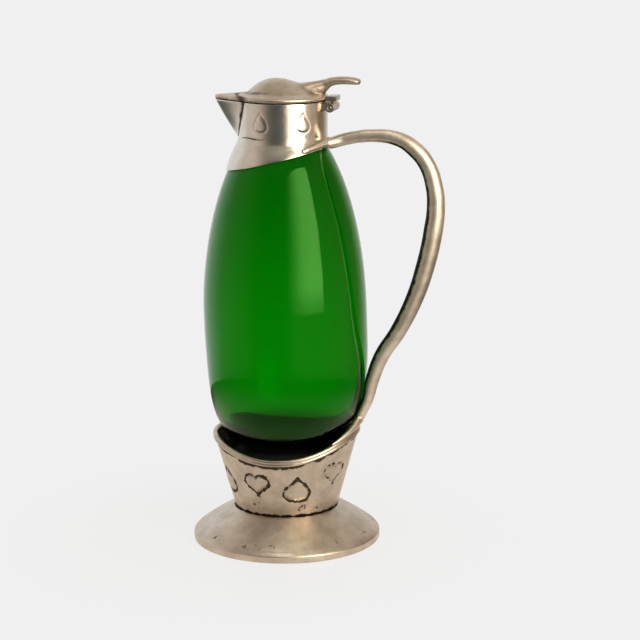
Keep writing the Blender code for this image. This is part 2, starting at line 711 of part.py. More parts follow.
def handle_points():
    """Places and radii along the middle of the handle."""
    root = COLLAR_RADIUS - HANDLE_ROOT_INSET
    points = [((root, 0, skirt_edge(0) - ARM_RADIUS / 8), HANDLE_RADIUS * HANDLE_ROOT_SHARE)]
    for out, up, thick in HANDLE_PATH_SHARES:
        inner = between(cup_radius(SADDLE_TOP), root, up)
        reach = between(inner, HANDLE_REACH - HANDLE_RADIUS, out)
        height = between(SADDLE_TOP + HANDLE_LOW_RISE, CREASE_HEIGHT + HANDLE_TOP_RISE, up)
        points.append(((reach, 0, height), HANDLE_RADIUS * thick))
    return points


def arm_points():
    """Upper arms, which lie on the skirt just above its slanted edge."""
    points = []
    for step in range(-FORK_STEPS, FORK_STEPS + 1):
        share = abs(step) / FORK_STEPS
        angle = ARM_SPREAD * step / FORK_STEPS
        radius = ARM_RADIUS * (1 - ARM_TAPER * share)
        height = skirt_edge(angle) + radius
        out = collar_radius(height) + radius * ARM_SEAT_SHARE
        points.append(((out * math.cos(angle), out * math.sin(angle), height), radius))
    return points


def tine_points():
    """Lower tines, which lie along the top of the cup's rim wire."""
    points = []
    for step in range(-FORK_STEPS, FORK_STEPS + 1):
        share = abs(step) / FORK_STEPS
        angle = TINE_SPREAD * step / FORK_STEPS
        radius = TINE_RADIUS * (1 - TINE_TAPER * share)
        height = saddle(angle) + radius * TINE_LIFT_SHARE
        out = cup_radius(saddle(angle)) - CUP_WALL / 2 + WIRE_FLARE
        points.append(((out * math.cos(angle), out * math.sin(angle), height), radius))
    return points


def make_handle(surface, carrier, collar_clear):
    """Tapered rod swept in a long loop, forked at both ends to hug the mounts."""
    body = rod("handle", handle_points(), HANDLE_CURVE_STEPS, HANDLE_ROUND_STEPS)
    handle = add_mesh("handle", body, surface, carrier)
    for name, points in (("handle_arms", arm_points()), ("handle_tines", tine_points())):
        fork = rod(name, points, FORK_CURVE_STEPS, FORK_ROUND_STEPS)
        combine(handle, tool(name, fork, carrier), "UNION")
    wire_clear = around("wire_clear", lambda angle: wire_section(angle, GAP))
    glass_clear = turned("glass_clear", [(0, SADDLE_LOW)] + [
        (glass_radius(between(SADDLE_LOW, GLASS_BELLY_HEIGHT, step / GLASS_BELOW_STEPS)) + GAP,
         between(SADDLE_LOW, GLASS_BELLY_HEIGHT, step / GLASS_BELOW_STEPS))
        for step in range(GLASS_BELOW_STEPS + 1)] + [(0, GLASS_BELLY_HEIGHT)], closed=False)
    combine(handle, collar_clear, "DIFFERENCE")
    combine(handle, tool("wire_clear", wire_clear, carrier), "DIFFERENCE")
    combine(handle, tool("glass_clear", glass_clear, carrier), "DIFFERENCE")
    return handle


def make_tools(jug, lid):
    """Solids that cut the clearances where pieces meet."""
    pin_bore = (PIN_RADIUS + GAP, -HINGE_HALF_WIDTH - OVERRUN, HINGE_HALF_WIDTH + OVERRUN)
    channel = beak_body("beak_channel", BEAK_WALL, COLLAR_RADIUS / 4,
                        CREASE_HEIGHT + BEAK_CHANNEL_RISE, COLLAR_TOP + OVERRUN)
    return {
        "collar": tool("collar_clear", collar_block("collar_clear", GAP), jug),
        "channel": tool("beak_channel", channel, jug),
        "pin": tool("pin_clear", cylinder_y("pin_clear", *pin_bore, HINGE_REACH, HINGE_HEIGHT),
                    jug),
        "lid": tool("lid_clear", lid_block("lid_clear"), lid),
        "dome": tool("dome_clear", dome_mesh("dome_clear", GAP), lid),
    }


def main():
    """Clear the scene and build the ewer."""
    for leftover in list(bpy.data.objects):
        bpy.data.objects.remove(leftover)
    satin = pewter("satin_pewter", (0.48, 0.40, 0.31), 0.38)
    bright = pewter("polished_pewter", (0.56, 0.50, 0.42), 0.18)
    green = plain("green_glass", (0.0, 0.22, 0.01), 0.03, transmission=1.0)
    cement = plain("bedding_cement", (0.03, 0.025, 0.02), 0.9)

    jug = add_empty("jug_axis", None, (JUG_AXIS_X, 0, 0))
    lid = add_empty("lid_hinge", jug, (HINGE_REACH, 0, HINGE_HEIGHT))
    tools = make_tools(jug, lid)

    make_foot(satin, jug)
    make_cup(satin, jug)
    make_rim_wire(satin, jug)
    make_beds(cement, jug)
    make_glass(green, jug)
    make_collar(bright, jug, tools["channel"])
    make_spout(bright, jug, tools["collar"], tools["channel"])
    make_lugs(satin, jug, tools["collar"], tools["pin"])
    make_pin(bright, jug)
    make_handle(satin, jug, tools["collar"])
    make_lid_plate(satin, lid)
    make_cover(satin, lid, tools["lid"])
    make_dome(satin, lid)
    make_thumbpiece(satin, lid, tools["dome"])
    make_leaf(satin, lid, tools["lid"], tools["pin"])


main()
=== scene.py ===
# Tall green glass ewer in pewter mounts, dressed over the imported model.
# Lengths are in millimetres, measured from the jug's own upright axis, until a piece is made.

import math

import bpy
import numpy as np
from mathutils import Matrix, Vector


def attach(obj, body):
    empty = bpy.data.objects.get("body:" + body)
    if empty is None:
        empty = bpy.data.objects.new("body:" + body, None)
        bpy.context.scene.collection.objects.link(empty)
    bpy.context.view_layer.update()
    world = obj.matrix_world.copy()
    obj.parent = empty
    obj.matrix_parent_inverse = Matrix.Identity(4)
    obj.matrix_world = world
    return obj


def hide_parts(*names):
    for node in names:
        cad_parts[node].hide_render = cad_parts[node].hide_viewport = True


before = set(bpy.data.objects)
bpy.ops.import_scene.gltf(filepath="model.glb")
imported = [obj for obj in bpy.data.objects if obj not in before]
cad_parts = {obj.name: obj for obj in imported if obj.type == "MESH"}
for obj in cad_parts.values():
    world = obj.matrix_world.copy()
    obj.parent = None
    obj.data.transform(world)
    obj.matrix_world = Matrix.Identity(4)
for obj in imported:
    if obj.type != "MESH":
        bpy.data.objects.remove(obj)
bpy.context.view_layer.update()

MM = 0.001
AXIS_X = -21.45

# Heights and radii shared by several pieces
FOOT_TOP = 22.3
CUP_BASE_RADIUS = 33.6
CUP_FLARE = 0.2713
RIM_HALF_HEIGHT = 2.2
RIM_HALF_WIDTH = 1.55
GLASS_RADIUS = 52.54
GLASS_BELLY = 150.1
GLASS_DROP = 90.6
GLASS_RISE = 128.0
GLASS_LOWER_CURVE = 3.32
GLASS_UPPER_CURVE = 1.91
GLASS_NECK = 24.0
COLLAR_RADIUS = 28.25
COLLAR_WALL = 1.3
COLLAR_TOP = 285.5
SKIRT_DRAWN = 249.7
CREASE = 263.0
BEAK_BASE = 261.5
BEAK_RISE = 24.0
LID_BASE = 285.8

# Direction from the jug's axis to the camera's side, level with the table
CAMERA_SIDE = (0.2254, -0.9743)

# The backdrop, and the shade past the table's edge
PALE = "#F0F0F0"
SHADE = "#5B5A56"


# Camera at the photograph's viewpoint

def set_camera():
    """Long lens a little above the ewer and to its handle side."""
    place, towards, roll = (0.26227, -1.22652, 0.41331), (-406.61, 1912.95, -418.68), 0.006
    bpy.ops.object.camera_add(location=place)
    camera = bpy.context.object
    camera.name = "photograph_camera"
    ahead = Vector(towards).normalized()
    right = ahead.cross(Vector((0, 0, 1))).normalized()
    up = right.cross(ahead)
    turn = Matrix.Rotation(roll, 3, ahead)
    right, up = turn @ right, turn @ up
    facing = Matrix((right, up, -ahead)).transposed().to_4x4()
    camera.matrix_world = Matrix.Translation(camera.location) @ facing
    camera.data.lens = 112.5
    camera.data.sensor_width = 36
    camera.data.clip_start = 0.05
    bpy.context.scene.camera = camera


# Node and colour helpers

def linear(code):
    """A colour written as an sRGB hex code, made linear."""
    parts = [int(code[place:place + 2], 16) / 255 for place in (1, 3, 5)]
    return [part / 12.92 if part <= 0.04045 else ((part + 0.055) / 1.055) ** 2.4
            for part in parts] + [1.0]


def node(tree, kind, settings, inputs):
    """Add a node with its settings, its values and the links into it."""
    made = tree.nodes.new(kind)
    for name, value in settings.items():
        setattr(made, name, value)
    for name, value in inputs.items():
        if isinstance(value, bpy.types.NodeSocket):
            tree.links.new(value, made.inputs[name])
        else:
            made.inputs[name].default_value = value
    return made


def paint(ramp, stops):
    """Give a colour ramp its stops, each a place from 0 to 1 and a colour code."""
    elements = ramp.color_ramp.elements
    elements.remove(elements[1])
    elements[0].position, elements[0].color = stops[0][0], linear(stops[0][1])
    for place, code in stops[1:]:
        elements.new(place).color = linear(code)


def surface(name):
    """A new material with its tree, shader and object coordinates."""
    made = bpy.data.materials.new(name)
    made.use_nodes = True
    tree = made.node_tree
    place = tree.nodes.new("ShaderNodeTexCoord").outputs["Object"]
    return made, tree, tree.nodes["Principled BSDF"], place


def pewter(name, light, dark, darkening, clear, scratch, wander, rings=0.0):
    """Cast or spun pewter: cloudy grey metal, rubbed bright, with black left in the hollows and
    black painted as shade where a piece is marked for it.
    """
    made, tree, shader, place = surface(name)
    # Cloudy tone in patches about 10 mm across
    clouds = node(tree, "ShaderNodeTexNoise", {}, {
        "Vector": place, "Scale": 95.0, "Detail": 8.0, "Roughness": 0.68})
    cloud = node(tree, "ShaderNodeMapRange", {"interpolation_type": "SMOOTHSTEP"}, {
        "Value": clouds.outputs["Fac"], "From Min": 0.3, "From Max": 0.68})
    tone = node(tree, "ShaderNodeMix", {"data_type": "RGBA"}, {
        "Factor": cloud.outputs["Result"], 6: linear(dark), 7: linear(light)})
    # Black stays where the mark of patina and painted shade is deeper than a threshold that
    # wanders every few millimetres
    darkened_amount = node(tree, "ShaderNodeAttribute", {"attribute_name": "tarnish_and_shade"}, {})
    patches = node(tree, "ShaderNodeTexNoise", {}, {
        "Vector": place, "Scale": 210.0, "Detail": 4.0, "Roughness": 0.6})
    threshold = node(tree, "ShaderNodeMapRange", {}, {
        "Value": patches.outputs["Fac"], "From Min": 0.32, "From Max": 0.66,
        "To Min": 0.62 + wander, "To Max": 0.62 - wander})
    beyond = node(tree, "ShaderNodeMath", {"operation": "SUBTRACT"}, {
        0: darkened_amount.outputs["Fac"], 1: threshold.outputs["Result"]})
    # The more the threshold wanders, the sharper the black's edge
    blur = 0.35 - wander * 0.45
    left = node(tree, "ShaderNodeMapRange", {"interpolation_type": "SMOOTHSTEP"}, {
        "Value": beyond.outputs["Value"], "From Min": -blur, "From Max": blur,
        "To Min": 0.0, "To Max": 0.93})
    # Scattered dark specks of pitting, about half a millimetre
    pits = node(tree, "ShaderNodeTexNoise", {}, {
        "Vector": place, "Scale": 520.0, "Detail": 2.0, "Roughness": 0.5})
    specks = node(tree, "ShaderNodeMapRange", {"interpolation_type": "SMOOTHSTEP"}, {
        "Value": pits.outputs["Fac"], "From Min": 0.72, "From Max": 0.78,
        "To Min": 0.0, "To Max": 0.45})
    black = node(tree, "ShaderNodeMath", {"operation": "MAXIMUM"}, {
        0: left.outputs["Result"], 1: specks.outputs["Result"]})
    # The darkening colour is both patina in the hollows and painted shade
    colour = node(tree, "ShaderNodeMix", {"data_type": "RGBA"}, {
        "Factor": black.outputs["Value"], 6: tone.outputs[2], 7: linear(darkening)})
    tree.links.new(colour.outputs[2], shader.inputs["Base Color"])
    # Rubbing leaves the metal between clear and hazy
    haze = node(tree, "ShaderNodeTexNoise", {}, {
        "Vector": place, "Scale": 130.0, "Detail": 6.0, "Roughness": 0.7})
    rubbed = node(tree, "ShaderNodeMapRange", {}, {
        "Value": haze.outputs["Fac"], "From Min": 0.3, "From Max": 0.7,
        "To Min": clear, "To Max": clear + 0.12})
    rough = node(tree, "ShaderNodeMix", {"data_type": "FLOAT"}, {
        "Factor": black.outputs["Value"], 2: rubbed.outputs["Result"], 3: 0.6})
    tree.links.new(rough.outputs[0], shader.inputs["Roughness"])
    # Hand rubbing leaves soft dents about 6 mm across and a grain, drawn near 1 mm to show
    waves = node(tree, "ShaderNodeTexNoise", {}, {
        "Vector": place, "Scale": 160.0, "Detail": 3.0, "Roughness": 0.6})
    dents = node(tree, "ShaderNodeBump", {}, {
        "Height": waves.outputs["Fac"], "Strength": scratch, "Distance": 0.0008})
    grain = node(tree, "ShaderNodeTexNoise", {}, {
        "Vector": place, "Scale": 1100.0, "Detail": 3.0, "Roughness": 0.7})
    bump = node(tree, "ShaderNodeBump", {}, {
        "Height": grain.outputs["Fac"], "Strength": scratch, "Distance": 0.0002,
        "Normal": dents.outputs["Normal"]})
    if rings:
        # Turning marks of the lathe, drawn about a quarter of a millimetre apart to show
        centred = node(tree, "ShaderNodeVectorMath", {"operation": "MULTIPLY_ADD"}, {
            0: place, 1: (1.0, 1.0, 0.0), 2: (-AXIS_X * MM, 0.0, 0.0)})
        away = node(tree, "ShaderNodeVectorMath", {"operation": "LENGTH"}, {
            0: centred.outputs["Vector"]})
        lathe = node(tree, "ShaderNodeTexNoise", {"noise_dimensions": "1D"}, {
            "W": away.outputs["Value"], "Scale": 3600.0, "Detail": 1.0})
        bump = node(tree, "ShaderNodeBump", {}, {
            "Height": lathe.outputs["Fac"], "Strength": rings, "Distance": 0.0003,
            "Normal": bump.outputs["Normal"]})
    tree.links.new(bump.outputs["Normal"], shader.inputs["Normal"])
    shader.inputs["Metallic"].default_value = 1.0
    return made


def bottle_glass():
    """Blown soda glass, coloured green through, with the fire-polished skin of blown work."""
    made, tree, shader, place = surface("green_blown_soda_glass")
    # Blowing leaves slow waves about 70 mm long
    waves = node(tree, "ShaderNodeTexNoise", {}, {
        "Vector": place, "Scale": 14.0, "Detail": 1.0, "Roughness": 0.4})
    bump = node(tree, "ShaderNodeBump", {}, {
        "Height": waves.outputs["Fac"], "Strength": 0.12, "Distance": 0.001})
    tree.links.new(bump.outputs["Normal"], shader.inputs["Normal"])
    # Darker towards the base and a little towards the neck
    up = node(tree, "ShaderNodeSeparateXYZ", {}, {0: place})
    level = node(tree, "ShaderNodeMapRange", {}, {
        "Value": up.outputs["Z"], "From Min": 0.05, "From Max": 0.25})
    height_tone = node(tree, "ShaderNodeValToRGB", {}, {"Fac": level.outputs["Result"]})
    paint(height_tone, [(0.08, "#748158"), (0.13, "#94EC7C"), (0.25, "#94EC7C"), (0.55, "#90E478"),
                  (1.0, "#80C070")])
    tree.links.new(height_tone.outputs["Color"], shader.inputs["Base Color"])
    shader.inputs["Specular Tint"].default_value = linear("#85CD74")
    shader.inputs["Transmission Weight"].default_value = 1.0
    shader.inputs["Roughness"].default_value = 0.015
    shader.inputs["IOR"].default_value = 1.5
    # Iron and chromium in the melt swallow red and blue within the 4 mm wall
    melt = node(tree, "ShaderNodeVolumeAbsorption", {}, {
        "Color": linear("#3FEF30"), "Density": 1000.0})
    tree.links.new(melt.outputs["Volume"], tree.nodes["Material Output"].inputs["Volume"])
    return made


def near_black_cement():
    """Bedding cement, near black and gritty."""
    made, tree, shader, place = surface("near_black_bedding_cement")
    # Grit of about a millimetre
    grit = node(tree, "ShaderNodeTexNoise", {}, {
        "Vector": place, "Scale": 700.0, "Detail": 4.0, "Roughness": 0.6})
    tone = node(tree, "ShaderNodeMix", {"data_type": "RGBA"}, {
        "Factor": grit.outputs["Fac"], 6: linear("#060504"), 7: linear("#1A1713")})
    tree.links.new(tone.outputs[2], shader.inputs["Base Color"])
    bump = node(tree, "ShaderNodeBump", {}, {
        "Height": grit.outputs["Fac"], "Strength": 0.5, "Distance": 0.0004})
    tree.links.new(bump.outputs["Normal"], shader.inputs["Normal"])
    shader.inputs["Roughness"].default_value = 0.9
    return made


# Shaping helpers

def only(piece):
    """Select one piece and nothing else."""
    bpy.ops.object.select_all(action="DESELECT")
    piece.select_set(True)
    bpy.context.view_layer.objects.active = piece


def apply_all(piece):
    """Apply every modifier in order."""
    only(piece)
    for modifier in list(piece.modifiers):
        bpy.ops.object.modifier_apply(modifier=modifier.name)


def settle(piece, name):
    """Put a new piece's place into its mesh and name it."""
    only(piece)
    bpy.ops.object.transform_apply(location=True, rotation=True, scale=True)
    piece.name = name
    piece.data.name = name
    bpy.ops.object.shade_smooth()
    return piece


def face_outwards():
    """Turn the active piece's faces outwards."""
    bpy.ops.object.mode_set(mode="EDIT")
    bpy.ops.mesh.select_all(action="SELECT")
    bpy.ops.mesh.normals_make_consistent(inside=False)
    bpy.ops.object.mode_set(mode="OBJECT")


def dress(piece, material, body, slot, *nodes):
    """Give a piece its material, and let it stand for its solids and move with its body."""
    piece.data.materials.clear()
    piece.data.materials.append(material)
    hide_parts(*nodes)
    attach(piece, body)


def turned(name, profile, steps, rounds=0):
    """Spin a closed profile of (radius, height) points round the axis and soften it."""
    bpy.ops.object.select_all(action="DESELECT")
    bpy.ops.mesh.primitive_plane_add(size=MM, location=(AXIS_X * MM, 0, 0), enter_editmode=True)
    bpy.ops.mesh.merge(type="CENTER")
    bpy.ops.transform.translate(value=(profile[0][0] * MM, 0, profile[0][1] * MM))
    for here, there in zip(profile, profile[1:] + profile[:1]):
        step = ((there[0] - here[0]) * MM, 0, (there[1] - here[1]) * MM)
        bpy.ops.mesh.extrude_vertices_move(TRANSFORM_OT_translate={"value": step})
    bpy.ops.mesh.select_all(action="SELECT")
    bpy.ops.mesh.remove_doubles(threshold=0.002 * MM)
    bpy.ops.mesh.select_all(action="SELECT")
    bpy.ops.mesh.spin(steps=steps, angle=math.tau, center=(AXIS_X * MM, 0, 0), axis=(0, 0, 1))
    bpy.ops.mesh.select_all(action="SELECT")
    bpy.ops.mesh.remove_doubles(threshold=0.002 * MM)
    bpy.ops.mesh.normals_make_consistent(inside=False)
    bpy.ops.object.mode_set(mode="OBJECT")
    piece = settle(bpy.context.object, name)
    if rounds:
        piece.modifiers.new("soften", "SUBSURF").levels = rounds
        apply_all(piece)
    return piece


def points_of(piece):
    """The piece's points in mm from the jug's axis."""
    flat = np.empty(len(piece.data.vertices) * 3)
    piece.data.vertices.foreach_get("co", flat)
    points = flat.reshape(-1, 3) / MM
    points[:, 0] -= AXIS_X
    return points


def place_points(piece, points):
    """Give the piece new points in mm from the jug's axis."""
    moved = points.copy()
    moved[:, 0] += AXIS_X
    piece.data.vertices.foreach_set("co", (moved * MM).ravel())
    piece.data.update()


def reshape(piece, change):
    """Move each point round the axis: change gives its new radius, height and its mark of patina
    and painted shade.
    """
    points = points_of(piece)
    angle = np.arctan2(points[:, 1], points[:, 0])
    radius = np.hypot(points[:, 0], points[:, 1])
    radius, height, tarnish_and_shade = change(angle, radius, points[:, 2])
    moved = np.column_stack((radius * np.cos(angle), radius * np.sin(angle), height))
    place_points(piece, moved)
    mark(piece, tarnish_and_shade)


def mark(piece, tarnish_and_shade):
    """Keep how dark each point is marked, by patina in hollows and by painted shade, for the
    metal's black.
    """
    darkened_amount = piece.data.attributes.new("tarnish_and_shade", "FLOAT", "POINT")
    darkened_amount.data.foreach_set("value", np.clip(tarnish_and_shade, 0, 1).astype(np.float32))


def smooth_line(value, places, levels):
    """Smooth curve through (place, level) points, places rising."""
    places, levels = np.array(places, float), np.array(levels, float)
    slopes = np.gradient(levels, places)
    at = np.clip(np.searchsorted(places, value) - 1, 0, len(places) - 2)
    width = places[at + 1] - places[at]
    share = np.clip((value - places[at]) / width, 0, 1)
    return ((1 + 2 * share) * (1 - share) ** 2 * levels[at]
            + share * (1 - share) ** 2 * width * slopes[at]
            + share ** 2 * (3 - 2 * share) * levels[at + 1]
            + share ** 2 * (share - 1) * width * slopes[at + 1])


def bulge(distance, width):
    """A soft hump, 1 at no distance."""
    return np.exp(-(distance / width) ** 2)


def heart(width, height):
    """Full heart outline with a shallow notch, point down."""
    turn = np.linspace(0, math.tau, 72, endpoint=False)
    up = (13 * np.cos(turn) - 3.6 * np.cos(2 * turn) - 1.7 * np.cos(3 * turn)
          - 0.7 * np.cos(4 * turn))
    return np.column_stack((np.sin(turn) ** 3 * width / 2, (up + 2.6) / 27.5 * height))


def spade(width, height):
    """Spade outline, point up, on a short stem."""
    outline = heart(width, height) * (1, -1)
    low = outline[:, 1] < 0
    outline[:, 1] -= low * 0.14 * height * np.exp(-(outline[:, 0] / (0.1 * width)) ** 2)
    return outline


def drop(width, height):
    """Water drop outline, point up."""
    turn = np.linspace(0, math.tau, 72, endpoint=False)
    return np.column_stack((np.sin(turn) * np.sin(turn / 2) ** 1.4 * width * 0.6,
                            np.cos(turn) * height / 2))


def outline_distance(points, outline):
    """Distance of each point from a closed outline, negative inside it."""
    start, end = outline, np.roll(outline, -1, axis=0)
    along = end - start
    offset = points[:, None] - start
    share = np.clip((offset * along).sum(2) / (along ** 2).sum(1), 0, 1)
    away = offset - share[..., None] * along
    gap = np.sqrt((away ** 2).sum(2)).min(1)
    level = points[:, None, 1]
    crosses = (start[:, 1] > level) != (end[:, 1] > level)
    slope = along[:, 0] / np.where(along[:, 1] == 0, 1e-9, along[:, 1])
    at = start[:, 0] + (level - start[:, 1]) * slope
    inside = ((points[:, None, 0] < at) & crosses).sum(1) % 2 == 1
    return np.where(inside, -gap, gap)


def chase(angle, radius, height, motifs, groove, pillow):
    """Relief and tarnish of motifs, each (angle in degrees, height, outline)."""
    reach = 14
    relief, tarnish_and_shade = np.zeros_like(radius), np.zeros_like(radius)
    for degrees, middle, outline in motifs:
        around = (angle - math.radians(degrees) + math.pi) % math.tau - math.pi
        flat = np.column_stack((around * radius, height - middle))
        near = np.abs(flat).max(1) < reach
        gap = outline_distance(flat[near], outline)
        relief[near] += pillow * (1 - bulge(np.minimum(gap, 0), 1.6)) * (gap < 0)
        relief[near] -= groove * bulge(gap - 0.15, 0.75)
        tarnish_and_shade[near] = np.maximum(tarnish_and_shade[near], bulge(gap - 0.2, 1.15))
    return relief, tarnish_and_shade


def rim_line(angle):
    """Height of the top of the cup's saddle-shaped rim."""
    lowest, spout_rise, handle_rise = 62.4, 9.3, 13.1
    across, flank = np.cos(angle), np.abs(np.sin(angle))
    spout_side = lowest + spout_rise * (1 - flank ** 2.8)
    handle_side = lowest + handle_rise * np.maximum(across, 0) ** 2.5
    return np.where(across < 0, spout_side, handle_side)


def cup_radius(height):
    """Outside of the cup's wall."""
    return CUP_BASE_RADIUS + CUP_FLARE * (height - FOOT_TOP)


def glass_profile(inset, base_inset, top):
    """Points up the side of the glass, from its base to its mouth."""
    belly, drop_by, rise = GLASS_RADIUS - inset, GLASS_DROP - base_inset, GLASS_RISE - inset
    points = [(0, GLASS_BELLY - drop_by)]
    steps, up_to_neck = 24, 0.86
    for step in range(1, steps):
        share = math.sin(math.pi / 2 * (1 - step / steps)) ** (2 / GLASS_LOWER_CURVE)
        out = belly * (1 - share ** GLASS_LOWER_CURVE) ** (1 / GLASS_LOWER_CURVE)
        points.append((out, GLASS_BELLY - drop_by * share))
    for step in range(steps + 1):
        share = up_to_neck * math.sin(math.pi / 2 * step / steps)
        out = belly * (1 - share ** GLASS_UPPER_CURVE) ** (1 / GLASS_UPPER_CURVE)
        points.append((out, GLASS_BELLY + rise * share))
    points += [(GLASS_NECK - inset + 0.3, 262.0), (GLASS_NECK - inset, 263.5),
               (GLASS_NECK - inset, top)]
    return points


def skirt_radius(height):
    """Outside of the collar and its flared skirt."""
    return smooth_line(height, (238, 241.1, 246, 250, 254, 258, 260.5, 262, 263.5, 265, 290),
                       (37.2, 36.5, 35.2, 33.8, 32.05, 30.1, 28.95, 28.45)
                       + 3 * (COLLAR_RADIUS,))


def skirt_edge(angle):
    """Height of the skirt's slanted lower edge."""
    slant, out = 0.237, 34.0
    return SKIRT_DRAWN + slant * (out * np.cos(angle) - 1.6 * np.cos(angle) ** 2)


def beak_seam(rise):
    """Angle from the beak's middle to its seam, for a rise from 0 at its foot to 1 at its top."""
    return math.radians(43.7) * rise ** 0.38


# Pieces of the body

def make_foot(metal):
    """Spun foot, a shallow cone on an upright band."""
    profile = [(25, 22.3), (33.2, 22.3), (34.3, 22.15), (37, 20.6), (39.85, 18.87), (44.98, 15.78),
               (49.4, 13.03), (53.1, 10.6), (56.1, 8.56), (58.4, 6.83), (59.8, 5.5), (60.55, 4.75),
               (60.9, 4.2), (60.9, 3.2), (60.9, 1.0), (60.8, 0.2), (60.3, 0.0), (59, 0.0),
               (57.0, 0.0), (56.4, 0.15), (56.3, 0.8), (56.2, 2.2), (54.5, 6.0), (50, 9.9),
               (44, 13.9), (38, 17.6), (33.5, 19.9), (30, 20.1), (25, 20.1)]
    foot = turned("spun_foot", profile, steps=64, rounds=2)
    points = points_of(foot)
    radius = np.hypot(points[:, 0], points[:, 1])
    seam = 0.9 * bulge(np.maximum(radius - 33.8, 0), 0.7) * (points[:, 2] > 21)
    under = 0.8 * (points[:, 2] < 0.12)
    darkening = 0.2 * bulge(radius - 55.5, 3.0)
    mark(foot, np.max((seam, under, darkening), axis=0))
    dress(foot, metal, "jug", "satin_pewter", "foot")


def make_cup(metal):
    """Conical cup with its saddle-shaped top and the eight chased motifs."""
    drawn_radius, drawn_top, cup_wall = 34, 60.9, 1.6
    rows = [22.38, 22.9] + [23.6 + 0.95 * row for row in range(39)]
    profile = [(0, 22.38), (20, 22.38), (33.2, 22.38)]
    profile += [(drawn_radius, row) for row in rows[1:]]
    profile += [(33.6, drawn_top), (32.8, drawn_top), (32.4, 60.6), (32.4, 52), (32.4, 40),
                (32.4, 30), (32.4, 24.6), (20, 24.6), (0, 24.6)]
    cup = turned("chased_cup", profile, steps=160, rounds=1)
    up, down = heart(17.0, 14.5), spade(17.0, 16.5)
    motifs = [(side * degrees, height, outline) for side in (-1, 1) for degrees, height, outline in
              ((29, 49.3, up), (67, 42.0, down), (106, 43.6, up), (147, 43.4, down))]

    def change(angle, radius, height):
        top = rim_line(angle) - RIM_HALF_HEIGHT
        raised = FOOT_TOP + (height - FOOT_TOP) * (top - FOOT_TOP) / (drawn_top - FOOT_TOP)
        wall = (drawn_radius - radius) / cup_wall
        below = top - 2.2 - raised
        out = cup_radius(raised) + 0.55 * bulge(below, 2.2) - wall * cup_wall
        outside = (wall < 0.2) & (radius > 32)
        relief, tarnish_and_shade = chase(angle, out, raised, motifs, groove=0.42, pillow=0.45)
        under_rim = bulge(np.maximum(below - 0.4, 0), 1.8)
        at_foot = 0.9 * bulge(np.maximum(raised - 23.0, 0), 1.2)
        # The motifs nearest the handle are given less black
        tarnish_and_shade *= 1 - 0.38 * np.clip((np.cos(angle) - 0.55) / 0.3, 0, 1)
        smudge = 0.26 * bulge(raised - 28, 4.0)
        tarnish_and_shade = np.max((tarnish_and_shade, under_rim, at_foot, smudge), axis=0)
        # Inside its wall the cup is painted fully black: partly patina, partly painted shade of
        # the deep gap round the glass
        in_wall = radius > 32.3
        return (np.where(in_wall, out + relief * outside, radius),
                np.where(in_wall, raised, height), np.where(outside, tarnish_and_shade, 1.0))

    reshape(cup, change)
    dress(cup, metal, "jug", "satin_pewter", "cup")


def make_rim(metal):
    """Double bead laid along the cup's saddle-shaped edge."""
    ring, half, level = 44, 2, 62
    bpy.ops.object.select_all(action="DESELECT")
    bpy.ops.mesh.primitive_torus_add(
        major_segments=320, minor_segments=36, major_radius=ring * MM, minor_radius=half * MM,
        location=(AXIS_X * MM, 0, level * MM))
    rim = settle(bpy.context.object, "cup_rim_beads")

    def change(angle, radius, height):
        across, up = (radius - ring) / half, (height - level) / half
        groove = np.where(across > 0, bulge(up + 0.05, 0.2), 0)
        middle = rim_line(angle) - RIM_HALF_HEIGHT
        out = np.sign(across) * np.abs(across) ** 0.75 - 0.4 * groove
        centre = cup_radius(middle) - 0.4
        return centre + RIM_HALF_WIDTH * out, middle + RIM_HALF_HEIGHT * up, 0.1 * groove

    reshape(rim, change)
    dress(rim, metal, "jug", "satin_pewter", "cup_rim_wire")


def make_glass(glass):
    """Blown egg-shaped body, open at the neck, thicker at its base."""
    lip, wall, base = 267.6, 4.0, 6.0
    inside = glass_profile(wall, base, lip)
    profile = glass_profile(0, 0, lip) + [(23.4, 268.0), (20.6, 268.0)] + inside[::-1]
    body = turned("blown_glass_body", profile, steps=96, rounds=1)
    # Blown by eye, its lower half swells a little towards the handle
    points = points_of(body)
    points[:, 0] += 1.3 * bulge(points[:, 2] - 113, 30) * (points[:, 2] > 72)
    place_points(body, points)
    dress(body, glass, "jug", "green_glass", "glass_body")


